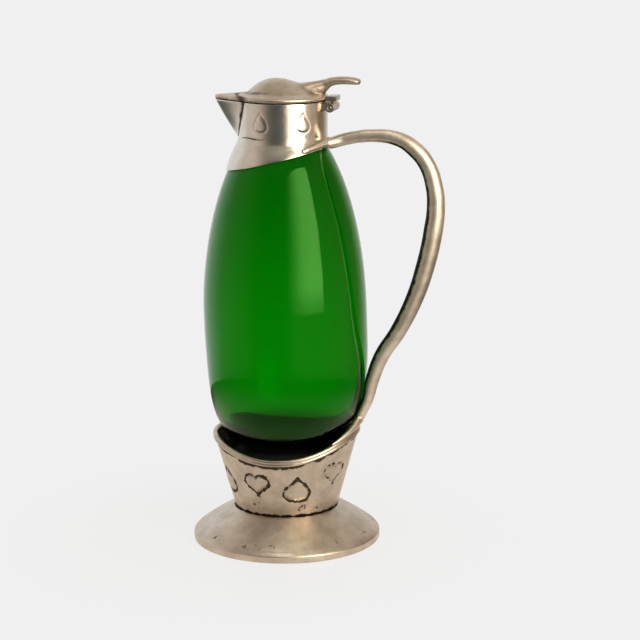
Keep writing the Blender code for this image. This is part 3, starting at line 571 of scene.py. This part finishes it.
def make_collar(metal):
    """Collar and skirt in one, with the chased drops, notched for the beak."""
    rows = [249.9 + 0.655 * row for row in range(20)]
    rows += [CREASE + 0.7 * row for row in range(32)]
    profile = [(28.0, SKIRT_DRAWN)] + [(COLLAR_RADIUS, row) for row in rows]
    profile += [(28.15, 285.3), (27.9, COLLAR_TOP), (27.3, COLLAR_TOP), (27.0, 285.3),
                (26.95, 284.6)]
    profile += [(26.95, 285 - 3.0 * row) for row in range(1, 12)] + [(27.2, SKIRT_DRAWN)]
    collar = turned("chased_collar", profile, steps=160, rounds=1)
    motifs = [(side * degrees, 273.4, drop(10.6, 11.4)) for side in (-1, 1)
              for degrees in (51, 108)]

    def change(angle, radius, height):
        reach = (CREASE - skirt_edge(angle)) / (CREASE - SKIRT_DRAWN)
        height = np.where(height < CREASE, CREASE - (CREASE - height) * reach, height)
        wall = (COLLAR_RADIUS - radius) / COLLAR_WALL
        # The skirt thins out towards its edge
        thin = np.where(height < CREASE, COLLAR_WALL - 0.7 * (CREASE - height) / 22, COLLAR_WALL)
        relief, tarnish_and_shade = chase(angle, radius, height, motifs, groove=0.2, pillow=0.12)
        outside = wall < 0.2
        # The crease on the spout side is dented a little and painted dark along it as painted
        # shade in its fold
        spout_side = bulge(np.abs(angle) - 2.15, 0.5)
        crease = bulge(height - CREASE - 0.4 + 0.3 * np.sin(9 * angle), 0.55) * spout_side
        relief -= 0.18 * crease
        # Painted shade darkens the collar in the corner beside the beak's seam, over the dark line
        # of the solder joint
        rise = np.clip((height - BEAK_BASE) / BEAK_RISE, 0, 1)
        seam = (math.pi - np.abs(angle) - beak_seam(rise)) * radius
        shade_beside_beak = 0.95 * bulge(np.maximum(seam, 0), 1.7) * (height > CREASE)
        tarnish_and_shade = np.max((tarnish_and_shade * 0.55, crease, shade_beside_beak), axis=0)
        return (skirt_radius(height) - wall * thin + relief * outside, height,
                np.where(outside, tarnish_and_shade, 0.4))

    reshape(collar, change)
    # The channel of the beak is cut through it, from 266.5 mm to past its top
    channel = []
    for level in 266.5 + (COLLAR_TOP - 263.5) * np.linspace(0, 1, 13) ** 1.6:
        ring = beak_ring(min(level, COLLAR_TOP), inset=1.5, back=-10.0, count=24)
        channel.append([(x, y, level) for x, y, _ in ring])
    cut(collar, lofted("beak_channel", channel))
    dress(collar, metal, "jug", "polished_pewter", "collar")


def beak_ring(height, inset, back, count):
    """Level outline of the beak at a height: a rounded nose between two flat walls."""
    rise = min(max((height - BEAK_BASE) / BEAK_RISE, 0), 1)
    seam_angle = beak_seam(rise)
    keel = -COLLAR_RADIUS - 0.75 - 14.7 * rise - 0.5 * math.sin(math.pi * rise) + inset
    seam_x = -COLLAR_RADIUS * math.cos(seam_angle) + inset
    seam_y = max(COLLAR_RADIUS * math.sin(seam_angle) - inset * 0.8, 0.2)
    ring = []
    for step in range(count + 1):
        share = 2 * step / count - 1
        nose = (math.hypot(share, 0.2) - 0.2) / (math.hypot(1, 0.2) - 0.2)
        ring.append((keel + (seam_x - keel) * nose, seam_y * share, height))
    ring[0] = (ring[0][0] - back, ring[0][1], height)
    ring[-1] = (ring[-1][0] - back, ring[-1][1], height)
    return ring


def lofted(name, rings):
    """A closed solid drawn up through rings that all have the same number of points."""
    bpy.ops.object.select_all(action="DESELECT")
    bpy.ops.mesh.primitive_circle_add(vertices=len(rings[0]), radius=MM, fill_type="NGON",
                                      location=(0, 0, 0), enter_editmode=True)
    for _ in rings[1:]:
        bpy.ops.mesh.extrude_region_move(TRANSFORM_OT_translate={"value": (0, 0, MM)})
    bpy.ops.object.mode_set(mode="OBJECT")
    solid = settle(bpy.context.object, name)
    spots = [vertex.co for vertex in solid.data.vertices]
    order = sorted(range(len(spots)), key=lambda index: (
        round(spots[index].z / MM), math.atan2(spots[index].y, spots[index].x)))
    points = np.empty((len(order), 3))
    points[order] = np.array(rings).reshape(-1, 3)
    place_points(solid, points)
    face_outwards()
    return solid


def cut(piece, cutter):
    """Cut a piece with a solid, which then goes."""
    taken = piece.modifiers.new("cut", "BOOLEAN")
    taken.solver = "EXACT"
    taken.object = cutter
    apply_all(piece)
    bpy.data.objects.remove(cutter)
    bpy.ops.object.shade_smooth_by_angle(angle=math.radians(40))


def make_spout(metal):
    """Folded beak, its walls 1.4 mm thick, soldered to the collar."""
    half, lowest, rise = 24, 261.3, 24.2
    bpy.ops.object.select_all(action="DESELECT")
    bpy.ops.mesh.primitive_grid_add(x_subdivisions=2 * half, y_subdivisions=40, size=2,
                                    location=(AXIS_X * MM, 0, 0))
    spout = bpy.context.object
    points, tarnish_and_shade = [], []
    for vertex in spout.data.vertices:
        height = lowest + rise * ((vertex.co.y + 1) / 2) ** 1.3
        ring = beak_ring(height, inset=0.0, back=-0.4, count=2 * half)
        step = round((vertex.co.x + 1) * half)
        points.append(ring[step])
        # Painted shade darkens the beak towards both its seams with the collar, over the dark line
        # of the solder joint
        edge = min(step, 2 * half - step) / half
        tarnish_and_shade.append(0.85 * bulge(edge, 0.13))
    settle(spout, "beak_spout")
    place_points(spout, np.array(points))
    mark(spout, np.array(tarnish_and_shade))
    face_outwards()
    outward = spout.data.polygons[20].normal.x < 0
    wall = spout.modifiers.new("wall", "SOLIDIFY")
    wall.thickness = 1.4 * MM
    wall.offset = -1 if outward else 1
    apply_all(spout)
    dress(spout, metal, "jug", "polished_pewter", "spout")


# Lid

def drawn_bar(name, stations, sides):
    """Bar drawn out ring by ring along x: each station is x, its low and high, its half width."""
    bpy.ops.object.select_all(action="DESELECT")
    x, low, high, half = stations[0]
    middle = Vector(((x + AXIS_X) * MM, 0, (low + high) / 2 * MM))
    bpy.ops.mesh.primitive_circle_add(vertices=sides, radius=1, fill_type="NGON",
                                      location=middle, rotation=(0, math.pi / 2, 0))
    bar = bpy.context.object
    bpy.ops.object.transform_apply(location=False, rotation=True, scale=False)
    bpy.ops.object.mode_set(mode="EDIT")
    bpy.ops.mesh.select_all(action="SELECT")
    bpy.ops.transform.resize(value=(1, half * MM, (high - low) / 2 * MM), center_override=middle)
    for (_, low, high, half), (x, next_low, next_high, next_half) in zip(stations, stations[1:]):
        target = Vector(((x + AXIS_X) * MM, 0, (next_low + next_high) / 2 * MM))
        bpy.ops.mesh.extrude_region_move(
            TRANSFORM_OT_translate={"value": target - middle})
        middle = target
        bpy.ops.transform.resize(
            value=(1, next_half / half, (next_high - next_low) / (high - low)),
            center_override=middle)
    bpy.ops.mesh.select_all(action="SELECT")
    bpy.ops.mesh.normals_make_consistent(inside=False)
    bpy.ops.object.mode_set(mode="OBJECT")
    settle(bar, name)
    bar.modifiers.new("soften", "SUBSURF").levels = 2
    apply_all(bar)
    return bar


def cast_together(pieces, name, grain, passes):
    """Melt overlapping solids into one casting with soft inner corners."""
    bpy.ops.object.select_all(action="DESELECT")
    for piece in pieces:
        piece.select_set(True)
    bpy.context.view_layer.objects.active = pieces[0]
    bpy.ops.object.join()
    casting = bpy.context.object
    melt = casting.modifiers.new("melt", "REMESH")
    melt.mode = "VOXEL"
    melt.voxel_size = grain * MM
    rub = casting.modifiers.new("rub", "SMOOTH")
    rub.factor = 0.5
    rub.iterations = passes
    apply_all(casting)
    return settle(casting, name)


def soften(piece, within, passes):
    """Smooth the part of a piece whose points are within a region, in mm from the axis."""
    only(piece)
    bpy.ops.object.mode_set(mode="EDIT")
    bpy.ops.mesh.select_mode(type="VERT")
    bpy.ops.mesh.select_all(action="DESELECT")
    bpy.ops.object.mode_set(mode="OBJECT")
    points = points_of(piece)
    for vertex, point in zip(piece.data.vertices, points):
        vertex.select = within(*point)
    bpy.ops.object.mode_set(mode="EDIT")
    bpy.ops.mesh.vertices_smooth(factor=0.5, repeat=passes)
    bpy.ops.object.mode_set(mode="OBJECT")


def make_lid(metal):
    """Lid cast in one: round plate, cover of the beak, hump, web and thumb tongue."""
    plate = turned("lid_plate_form", [
        (0, 285.8), (14, 285.8), (27.6, 285.8), (28.7, 286.0), (29.2, 286.9), (29.1, 287.9),
        (28.5, 288.6), (27.5, 288.9), (26.2, 289.2), (24.6, 289.8), (22.5, 290.6), (14, 291.0),
        (0, 291.0)], steps=96, rounds=1)
    steps, hump_radius, hump_foot, hump_rise = 16, 22.9, 290.5, 8.8
    hump = [(0, 299.3)]
    for step in range(1, steps + 1):
        share = step / steps
        hump.append((hump_radius * share, hump_foot + hump_rise * (1 - share ** 2) ** 1.18))
    dome = turned("lid_hump_form", hump + [(hump_radius, 288), (0, 288)], steps=96, rounds=1)
    # The hump leans towards the spout
    points = points_of(dome)
    points[:, 0] -= 4.4 * np.clip((points[:, 2] - 290.6) / 8.6, 0, 1)
    place_points(dome, points)
    tongue = drawn_bar("thumb_tongue_form", [
        (2, 286.5, 293.6, 7.6), (8, 286.5, 296.2, 8.6), (14, 286.5, 297.0, 8.2),
        (20, 287.0, 297.9, 7.0), (25, 288.2, 298.8, 5.6), (27.4, 289.4, 299.4, 4.7),
        (29.0, 292.4, 299.8, 4.2), (31.2, 294.8, 300.2, 4.1), (35, 295.6, 300.7, 4.5),
        (40.5, 295.9, 300.8, 5.1), (45.5, 295.6, 300.5, 5.0), (48.6, 295.6, 299.6, 3.9),
        (49.9, 296.2, 298.9, 2.2)], sides=20)
    cover = beak_cover_form()
    lid = cast_together([plate, dome, tongue, cover], "lid_casting", grain=0.4, passes=8)
    soften(lid, lambda x, y, z: z > 289.4 and abs(y) < 26 and -30 < x < 24, passes=14)
    soften(lid, lambda x, y, z: z > 290.4 and abs(y) < 16 and 2 < x < 29, passes=130)
    points = points_of(lid)
    radius = np.hypot(points[:, 0], points[:, 1])
    # Brown is painted round the foot of the hump as painted shade, at the joint of the cover as a
    # dark joint, along the lower edge as painted shade, and below the web as patina with painted
    # shade
    darkened_amount = 0.64 * bulge(np.hypot(points[:, 0] + 2.2, points[:, 1]) - 20.8, 2.6)
    darkened_amount *= np.clip(-points[:, 0] / 20 + 0.6, 0, 1) * (points[:, 2] < 292)
    cover_joint = 0.8 * bulge(radius - 29.0, 2.2) * np.clip(-points[:, 0] / 6 - 2.4, 0, 1)
    above = np.maximum(points[:, 2] - 285.9, 0)
    under = 0.75 * bulge(above, np.where(points[:, 0] < -24, 1.7, 0.7))
    under *= np.clip((radius - 24) / 4, 0.15, 1)
    web = 0.8 * bulge(points[:, 0] - 22.5, 5.0) * bulge(points[:, 2] - 291.8, 2.6)
    mark(lid, np.max((web, darkened_amount, cover_joint * (points[:, 2] < 290.5), under), axis=0))
    dress(lid, metal, "lid", "satin_pewter", "lid_plate", "beak_cover", "lid_dome", "thumbpiece")


def beak_cover_form():
    """Cover over the beak, with a low ridge along its middle."""
    outline = [(x, y) for x, y, _ in beak_ring(COLLAR_TOP, inset=-0.2, back=0, count=24)[1:-1]]
    outline += [(-8.0, 12.0), (-8.0, -12.0)]
    base = [(x, y, LID_BASE) for x, y in outline]
    edge = [(x, y, 288.35 + 0.55 * min(max((x + 44) / 16, 0), 1)) for x, y in outline]
    ridge = [(max(x, -41.5), y * 0.02, 288.9 + 1.5 * min((max(x, -41.5) + 41.5) / 29.5, 1))
             for x, y in outline]
    return lofted("beak_cover_form", [base, edge, ridge])


# Handle

def drawn_rod(name, points, sides):
    """Round rod through (place, radius) points on a smooth curve, as a closed mesh."""
    bpy.ops.object.select_all(action="DESELECT")
    bpy.ops.curve.primitive_bezier_curve_add(location=(0, 0, 0))
    rod = bpy.context.object
    rod.data.dimensions = "3D"
    rod.data.bevel_depth = MM
    rod.data.bevel_resolution = sides
    rod.data.resolution_u = 12
    rod.data.use_fill_caps = True
    spline = rod.data.splines[0]
    spline.bezier_points.add(len(points) - 2)
    for knot, ((x, y, z), radius) in zip(spline.bezier_points, points):
        knot.co = ((x + AXIS_X) * MM, y * MM, z * MM)
        knot.radius = radius
        knot.handle_left_type = "AUTO"
        knot.handle_right_type = "AUTO"
    only(rod)
    bpy.ops.object.convert(target="MESH")
    bpy.ops.object.mode_set(mode="EDIT")
    bpy.ops.mesh.select_all(action="SELECT")
    bpy.ops.mesh.remove_doubles(threshold=0.01 * MM)
    bpy.ops.object.mode_set(mode="OBJECT")
    face_outwards()
    return settle(rod, name)


def make_handle(metal):
    """Looped rod, forked at both ends, its forks soldered to the skirt and the rim."""
    path = ((28.2, 258.0, 3.7), (41.9, 262.1, 4.15), (57.6, 264.1, 4.05), (74.0, 262.1, 4.65),
            (84.5, 255.6, 5.2), (92.1, 246.0, 5.25), (96.6, 232.1, 5.5), (97.6, 220.6, 5.8),
            (96.2, 206.0, 6.15), (90.8, 181.0, 6.0), (83.9, 160.3, 5.6), (73.4, 139.0, 5.15),
            (63.1, 122.9, 4.85), (57.0, 106.8, 4.5), (53.9, 94.0, 3.8), (50.3, 85.7, 3.5),
            (47.3, 78.6, 3.1))
    rod = drawn_rod("handle_rod", [((x, 0, z), radius) for x, z, radius in path], sides=8)
    thick, last = 3.7, 55
    forks = []
    for side in (-1, 1):
        arm = [((41, 0, 261.9), thick), ((35.2, side * 1.7, 260.1), thick)]
        for degrees in (13, 21, 29, 37, 46, last):
            angle, share = math.radians(degrees), degrees / last
            radius = thick - 2.0 * share
            height = float(skirt_edge(angle)) + radius - 0.1 - 2.5 * (1 - share) ** 2.2
            out = float(skirt_radius(height)) - radius * 0.3
            arm.append(((out * math.cos(angle), side * out * math.sin(angle), height), radius))
        forks.append(drawn_rod("upper_fork", arm, sides=6))
    tines, steps, reach = [], 8, math.radians(38)
    for step in range(-steps, steps + 1):
        share = abs(step) / steps
        angle = reach * step / steps
        radius = 3.3 - 2.6 * share ** 0.9
        height = float(rim_line(angle)) + radius + 1.6 * float(bulge(share, 0.35))
        out = float(cup_radius(rim_line(angle))) - 0.2
        tines.append(((out * math.cos(angle), out * math.sin(angle), height), radius))
    forks.append(drawn_rod("lower_fork", tines, sides=6))
    handle = cast_together([rod] + forks, "looped_handle", grain=0.5, passes=6)
    soften(handle, lambda x, y, z: 22 < x < 50 and 236 < z < 272, passes=40)
    # The forks are fitted to the skirt and clear the glass
    core = [(0, 236)] + [(float(skirt_radius(height)) - 0.35, height)
                         for height in np.linspace(238, 268, 24)] + [(0, 270)]
    cut(handle, turned("skirt_core", core, steps=96))
    inner = [(0, 60)] + [(radius + 0.25, height) for radius, height in glass_profile(0, 0, 267)
                         if 60 < height < 150] + [(0, 150)]
    cut(handle, turned("glass_core", inner, steps=96))
    points = points_of(handle)
    normals = np.empty(len(points) * 3)
    handle.data.vertices.foreach_get("normal", normals)
    # The side facing the loop's middle and the glass is painted dark as painted shade of the rod's
    # inner side
    loop_middle = np.array((55.0, 0.0, 215.0))
    inward = loop_middle - points
    inward[points[:, 2] < loop_middle[2]] = (-0.93, 0.0, 0.36)
    facing = (normals.reshape(-1, 3) * inward).sum(1) / np.linalg.norm(inward, axis=1)
    painted_inner_shade = 1.1 * np.clip((facing - 0.3) / 0.4, 0, 1)
    painted_inner_shade[points[:, 2] > 240] *= np.clip((points[points[:, 2] > 240, 0] - 48) / 25, 0, 1)
    # Old solder shows dark where the forks meet the skirt
    proud = np.hypot(points[:, 0], points[:, 1]) - skirt_radius(points[:, 2])
    solder = 0.9 * bulge(proud - 0.1, 0.55) * (points[:, 2] > 248) * (points[:, 0] < 29)
    mark(handle, np.maximum(painted_inner_shade, solder))
    dress(handle, metal, "jug", "satin_pewter", "handle")


# Hinge

def eased_copy(source, name, width):
    """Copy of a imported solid, merged and with its edges eased by a width in mm."""
    bpy.ops.object.select_all(action="DESELECT")
    copy = bpy.data.objects.new(name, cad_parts[source].data.copy())
    bpy.context.scene.collection.objects.link(copy)
    copy.data.materials.clear()
    only(copy)
    bpy.ops.object.mode_set(mode="EDIT")
    bpy.ops.mesh.select_all(action="SELECT")
    bpy.ops.mesh.remove_doubles(threshold=0.002 * MM)
    bpy.ops.mesh.dissolve_limited(angle_limit=math.radians(2))
    bpy.ops.object.mode_set(mode="OBJECT")
    ease = copy.modifiers.new("ease", "BEVEL")
    ease.width = width * MM
    ease.segments = 3
    ease.limit_method = "ANGLE"
    ease.angle_limit = math.radians(35)
    apply_all(copy)
    bpy.ops.object.shade_smooth_by_angle(angle=math.radians(35))
    return copy


def make_hinge(metal, bright):
    """Leaf and middle knuckle on the lid, two fixed knuckles and the pin on the collar."""
    for source, name, width, body in (
            ("hinge_lug_near", "near_knuckle", 0.3, "jug"),
            ("hinge_lug_far", "far_knuckle", 0.3, "jug"),
            ("hinge_leaf", "lid_leaf", 0.35, "lid")):
        dress(eased_copy(source, name, width), metal, body, "satin_pewter", source)
    pin = eased_copy("hinge_pin", "knuckle_pin", width=0.25)
    dress(pin, bright, "jug", "polished_pewter", "hinge_pin")


# Studio

def set_studio():
    """Pale room with a tall window of light on the right and a dark gap beside the camera."""
    scene = bpy.context.scene
    scene.view_settings.view_transform = "Standard"
    world = bpy.data.worlds.new("studio")
    scene.world = world
    world.use_nodes = True
    tree = world.node_tree
    tree.nodes.clear()
    toward = tree.nodes.new("ShaderNodeTexCoord").outputs["Generated"]
    front = node(tree, "ShaderNodeVectorMath", {"operation": "DOT_PRODUCT"}, {
        0: toward, 1: (CAMERA_SIDE[0], CAMERA_SIDE[1], 0.0)})
    side = node(tree, "ShaderNodeVectorMath", {"operation": "DOT_PRODUCT"}, {
        0: toward, 1: (-CAMERA_SIDE[1], CAMERA_SIDE[0], 0.0)})
    bearing = node(tree, "ShaderNodeMath", {"operation": "ARCTAN2"}, {
        0: side.outputs["Value"], 1: front.outputs["Value"]})
    share = node(tree, "ShaderNodeMapRange", {}, {
        "Value": bearing.outputs["Value"], "From Min": -math.pi, "From Max": math.pi,
        "To Min": 0.0, "To Max": 1.0})
    walls = node(tree, "ShaderNodeValToRGB", {}, {"Fac": share.outputs["Result"]})
    # Each stop is a bearing in degrees to the right of the camera's side, and a colour
    stops = ((-180, PALE), (-118, PALE), (-104, "#DCD3CA"), (-76, "#D8CDC3"),
             (-62, "#CBBDB3"), (-52, "#B09E96"), (-40, "#787769"), (-28, "#5E605D"),
             (-12, "#5B5D5D"), (-2, "#6A6D6D"), (6, "#9A9892"), (14, "#D8D0C4"), (54, "#D8D0C4"),
             (70, "#CBB8A4"), (92, "#BAA792"), (106, "#85745F"), (124, "#8B7B68"),
             (136, "#BEB3A6"), (150, "#DDD8D0"), (168, PALE), (180, PALE))
    paint(walls, [((degrees + 180) / 360, code) for degrees, code in stops])
    up = node(tree, "ShaderNodeSeparateXYZ", {}, {0: toward})
    height = node(tree, "ShaderNodeMapRange", {"interpolation_type": "SMOOTHSTEP"}, {
        "Value": up.outputs["Z"], "From Min": 0.55, "From Max": 0.68,
        "To Min": 0.0, "To Max": 1.0})
    # Below the table's edge the walls run into shade
    low = node(tree, "ShaderNodeMapRange", {"interpolation_type": "SMOOTHSTEP"}, {
        "Value": up.outputs["Z"], "From Min": -0.42, "From Max": -0.24})
    sides = node(tree, "ShaderNodeMix", {"data_type": "RGBA"}, {
        "Factor": low.outputs["Result"], 6: linear(SHADE), 7: walls.outputs["Color"]})
    # The ceiling is bright where it meets the back wall, dim in front, and light overhead
    behind = node(tree, "ShaderNodeValToRGB", {}, {"Fac": up.outputs["Z"]})
    paint(behind, [(0.6, "#E4DCD2"), (0.82, "#D2C6B6"), (0.89, "#8A8174"), (0.94, "#8A8174"),
                   (1.0, "#DCCFBF")])
    before = node(tree, "ShaderNodeValToRGB", {}, {"Fac": up.outputs["Z"]})
    paint(before, [(0.5, "#6E6F68"), (0.7, "#ADA89B"), (0.86, "#A39E92"), (1.0, "#DCCFBF")])
    facing = node(tree, "ShaderNodeMapRange", {"interpolation_type": "SMOOTHSTEP"}, {
        "Value": front.outputs["Value"], "From Min": -0.3, "From Max": 0.2})
    ceiling = node(tree, "ShaderNodeMix", {"data_type": "RGBA"}, {
        "Factor": facing.outputs["Result"], 6: behind.outputs["Color"],
        7: before.outputs["Color"]})
    room = node(tree, "ShaderNodeMix", {"data_type": "RGBA"}, {
        "Factor": height.outputs["Result"], 6: sides.outputs[2], 7: ceiling.outputs[2]})
    path = tree.nodes.new("ShaderNodeLightPath")
    seen = node(tree, "ShaderNodeMath", {"operation": "MAXIMUM"}, {
        0: path.outputs["Is Camera Ray"], 1: path.outputs["Is Transmission Ray"]})
    shown = node(tree, "ShaderNodeMix", {"data_type": "RGBA"}, {
        "Factor": seen.outputs["Value"], 6: room.outputs[2], 7: linear(PALE)})
    glow = node(tree, "ShaderNodeBackground", {}, {"Color": shown.outputs[2], "Strength": 1.0})
    node(tree, "ShaderNodeOutputWorld", {}, {"Surface": glow.outputs["Background"]})

    window = add_light("tall_window", bearing=30, distance=1.2, height=0.64, aim=0.64,
                       size=(1.1, 1.28), radiance=6.0, colour="#FFF1DA")
    # A curtain softens the window's left edge and a sill its lower end
    tree = window.data.node_tree
    across = node(tree, "ShaderNodeSeparateXYZ", {}, {
        0: tree.nodes.new("ShaderNodeNewGeometry").outputs["Parametric"]})
    curtain = node(tree, "ShaderNodeMapRange", {"interpolation_type": "SMOOTHSTEP"}, {
        "Value": across.outputs["X"], "From Min": 0.02, "From Max": 0.58,
        "To Min": 0.06, "To Max": 1.0})
    sill = node(tree, "ShaderNodeMapRange", {"interpolation_type": "SMOOTHSTEP"}, {
        "Value": across.outputs["Y"], "From Min": 0.0, "From Max": 0.14,
        "To Min": 0.3, "To Max": 1.0})
    lit = node(tree, "ShaderNodeMath", {"operation": "MULTIPLY"}, {
        0: curtain.outputs["Result"], 1: sill.outputs["Result"]})
    tree.links.new(lit.outputs["Value"], tree.nodes["Emission"].inputs["Strength"])
    panel = add_light("ceiling_panel", bearing=-13, distance=0.45, height=1.5, aim=0.1,
                      size=(0.6, 1.1), radiance=3.0, colour="#FFF8EE")
    # Brightest in its middle, like a lamp behind a cloth
    tree = panel.data.node_tree
    centred = node(tree, "ShaderNodeVectorMath", {"operation": "MULTIPLY_ADD"}, {
        0: tree.nodes.new("ShaderNodeNewGeometry").outputs["Parametric"], 1: (2.0, 2.0, 0.0),
        2: (-1.0, -1.0, 0.0)})
    lamp = node(tree, "ShaderNodeTexGradient", {"gradient_type": "SPHERICAL"}, {
        "Vector": centred.outputs["Vector"]})
    tree.links.new(lamp.outputs["Fac"], tree.nodes["Emission"].inputs["Strength"])


def add_light(name, bearing, distance, height, aim, size, radiance, colour):
    """Soft panel of light at a bearing from the camera's side, turned to the ewer's axis."""
    angle = math.atan2(CAMERA_SIDE[1], CAMERA_SIDE[0]) + math.radians(bearing)
    place = Vector((AXIS_X * MM + distance * math.cos(angle), distance * math.sin(angle), height))
    bpy.ops.object.light_add(type="AREA", location=place)
    panel = bpy.context.object
    panel.name = name
    panel.data.shape = "RECTANGLE"
    panel.data.size, panel.data.size_y = size
    panel.data.energy = radiance * math.pi * size[0] * size[1]
    panel.data.color = linear(colour)[:3]
    toward = Vector((AXIS_X * MM, 0, aim)) - place
    panel.rotation_euler = toward.to_track_quat("-Z", "Y").to_euler()
    panel.visible_camera = False
    panel.data.use_nodes = True
    return panel


def make_floor():
    """Plain pale table top, faintly glossy, that keeps the foot's soft shadow."""
    bpy.ops.object.select_all(action="DESELECT")
    bpy.ops.mesh.primitive_circle_add(vertices=96, radius=0.36, fill_type="NGON",
                                      location=(AXIS_X * MM, 0, -0.00005))
    floor = bpy.context.object
    floor.name = "pale_floor"
    made, tree, shader, place = surface("pale_laminate")
    shader.inputs["Base Color"].default_value = linear(PALE)
    shader.inputs["Roughness"].default_value = 0.16
    path = tree.nodes.new("ShaderNodeLightPath")
    seen = node(tree, "ShaderNodeMath", {"operation": "MAXIMUM"}, {
        0: path.outputs["Is Camera Ray"], 1: path.outputs["Is Glossy Ray"]})
    also = node(tree, "ShaderNodeMath", {"operation": "MAXIMUM"}, {
        0: seen.outputs["Value"], 1: path.outputs["Is Transmission Ray"]})
    # The shadow keeps to the foot, and the far table melts into the backdrop
    centred = node(tree, "ShaderNodeVectorMath", {"operation": "SUBTRACT"}, {
        0: place, 1: (AXIS_X * MM, 0.0, 0.0)})
    away = node(tree, "ShaderNodeVectorMath", {"operation": "LENGTH"}, {
        0: centred.outputs["Vector"]})
    # Metal and glass mirror the lit table round the foot, and the dim room past its edge
    dimmed = node(tree, "ShaderNodeMapRange", {"interpolation_type": "SMOOTHSTEP"}, {
        "Value": away.outputs["Value"], "From Min": 0.15, "From Max": 0.33})
    mirrored = node(tree, "ShaderNodeMix", {"data_type": "RGBA"}, {
        "Factor": dimmed.outputs["Result"], 6: linear("#F0E4D6"), 7: linear(SHADE)})
    reflected = node(tree, "ShaderNodeMath", {"operation": "SUBTRACT", "use_clamp": True}, {
        0: path.outputs["Is Glossy Ray"], 1: path.outputs["Is Transmission Ray"]})
    shown = node(tree, "ShaderNodeMix", {"data_type": "RGBA"}, {
        "Factor": reflected.outputs["Value"], 6: linear(PALE), 7: mirrored.outputs[2]})
    glow = node(tree, "ShaderNodeEmission", {}, {"Color": shown.outputs[2], "Strength": 1.0})
    cover = node(tree, "ShaderNodeMapRange", {"interpolation_type": "SMOOTHSTEP"}, {
        "Value": away.outputs["Value"], "From Min": 0.06, "From Max": 0.2,
        "To Min": 0.9, "To Max": 1.0})
    amount = node(tree, "ShaderNodeMath", {"operation": "MULTIPLY"}, {
        0: also.outputs["Value"], 1: cover.outputs["Result"]})
    mixed = node(tree, "ShaderNodeMixShader", {}, {
        "Fac": amount.outputs["Value"], 1: shader.outputs["BSDF"], 2: glow.outputs["Emission"]})
    tree.links.new(mixed.outputs["Shader"], tree.nodes["Material Output"].inputs["Surface"])
    floor.data.materials.append(made)


set_camera()
set_studio()
make_floor()

# Satin pewter: a soft warm grey metal, rubbed to a low sheen, black where rubbing can't reach, and
# painted black as shade inside the cup
satin = pewter("rubbed_satin_pewter", "#CABEB0", "#B2A596", "#2A231C",
               clear=0.25, scratch=0.2, wander=0.5)
# Spun pewter: the same metal with the fine rings of the lathe
spun = pewter("spun_satin_pewter", "#D2C6B7", "#BAAD9E", "#2A231C",
              clear=0.27, scratch=0.2, wander=0.5, rings=0.3)
# Handled pewter: the same metal, dulled a little by hands, painted lighter to stand for the
# brighter light on the handle, with painted shade on its inner side
handled_painted_lighter = pewter("hand_worn_pewter_painted_lighter", "#EADFCF", "#D2C5B4", "#241E18",
                 clear=0.36, scratch=0.12, wander=0.3)
# Cast pewter: the same metal, left softer by its mould, with brown in its hollows and brown
# painted shade round the hump, along the lid's lower edge and under the web
cast = pewter("cast_satin_pewter", "#D4C8B8", "#BCAF9E", "#453A2D",
              clear=0.34, scratch=0.12, wander=0.12)
# Polished pewter: the same metal burnished until it shows the room
bright = pewter("burnished_pewter", "#DCD5CB", "#CFC7BA", "#3A3028",
                clear=0.12, scratch=0.06, wander=0.15)
# Soda glass: clear, deep green through its thickness, with a smooth fire-polished skin
green = bottle_glass()
# Bedding cement: matt and gritty, near black
cement = near_black_cement()

make_foot(spun)
make_cup(satin)
make_rim(satin)
make_glass(green)
make_collar(bright)
make_spout(bright)
make_lid(cast)
make_handle(handled_painted_lighter)
make_hinge(satin, bright)
for bed in ("glass_bed", "neck_bed"):
    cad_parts[bed].data.materials.clear()
    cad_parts[bed].data.materials.append(cement)
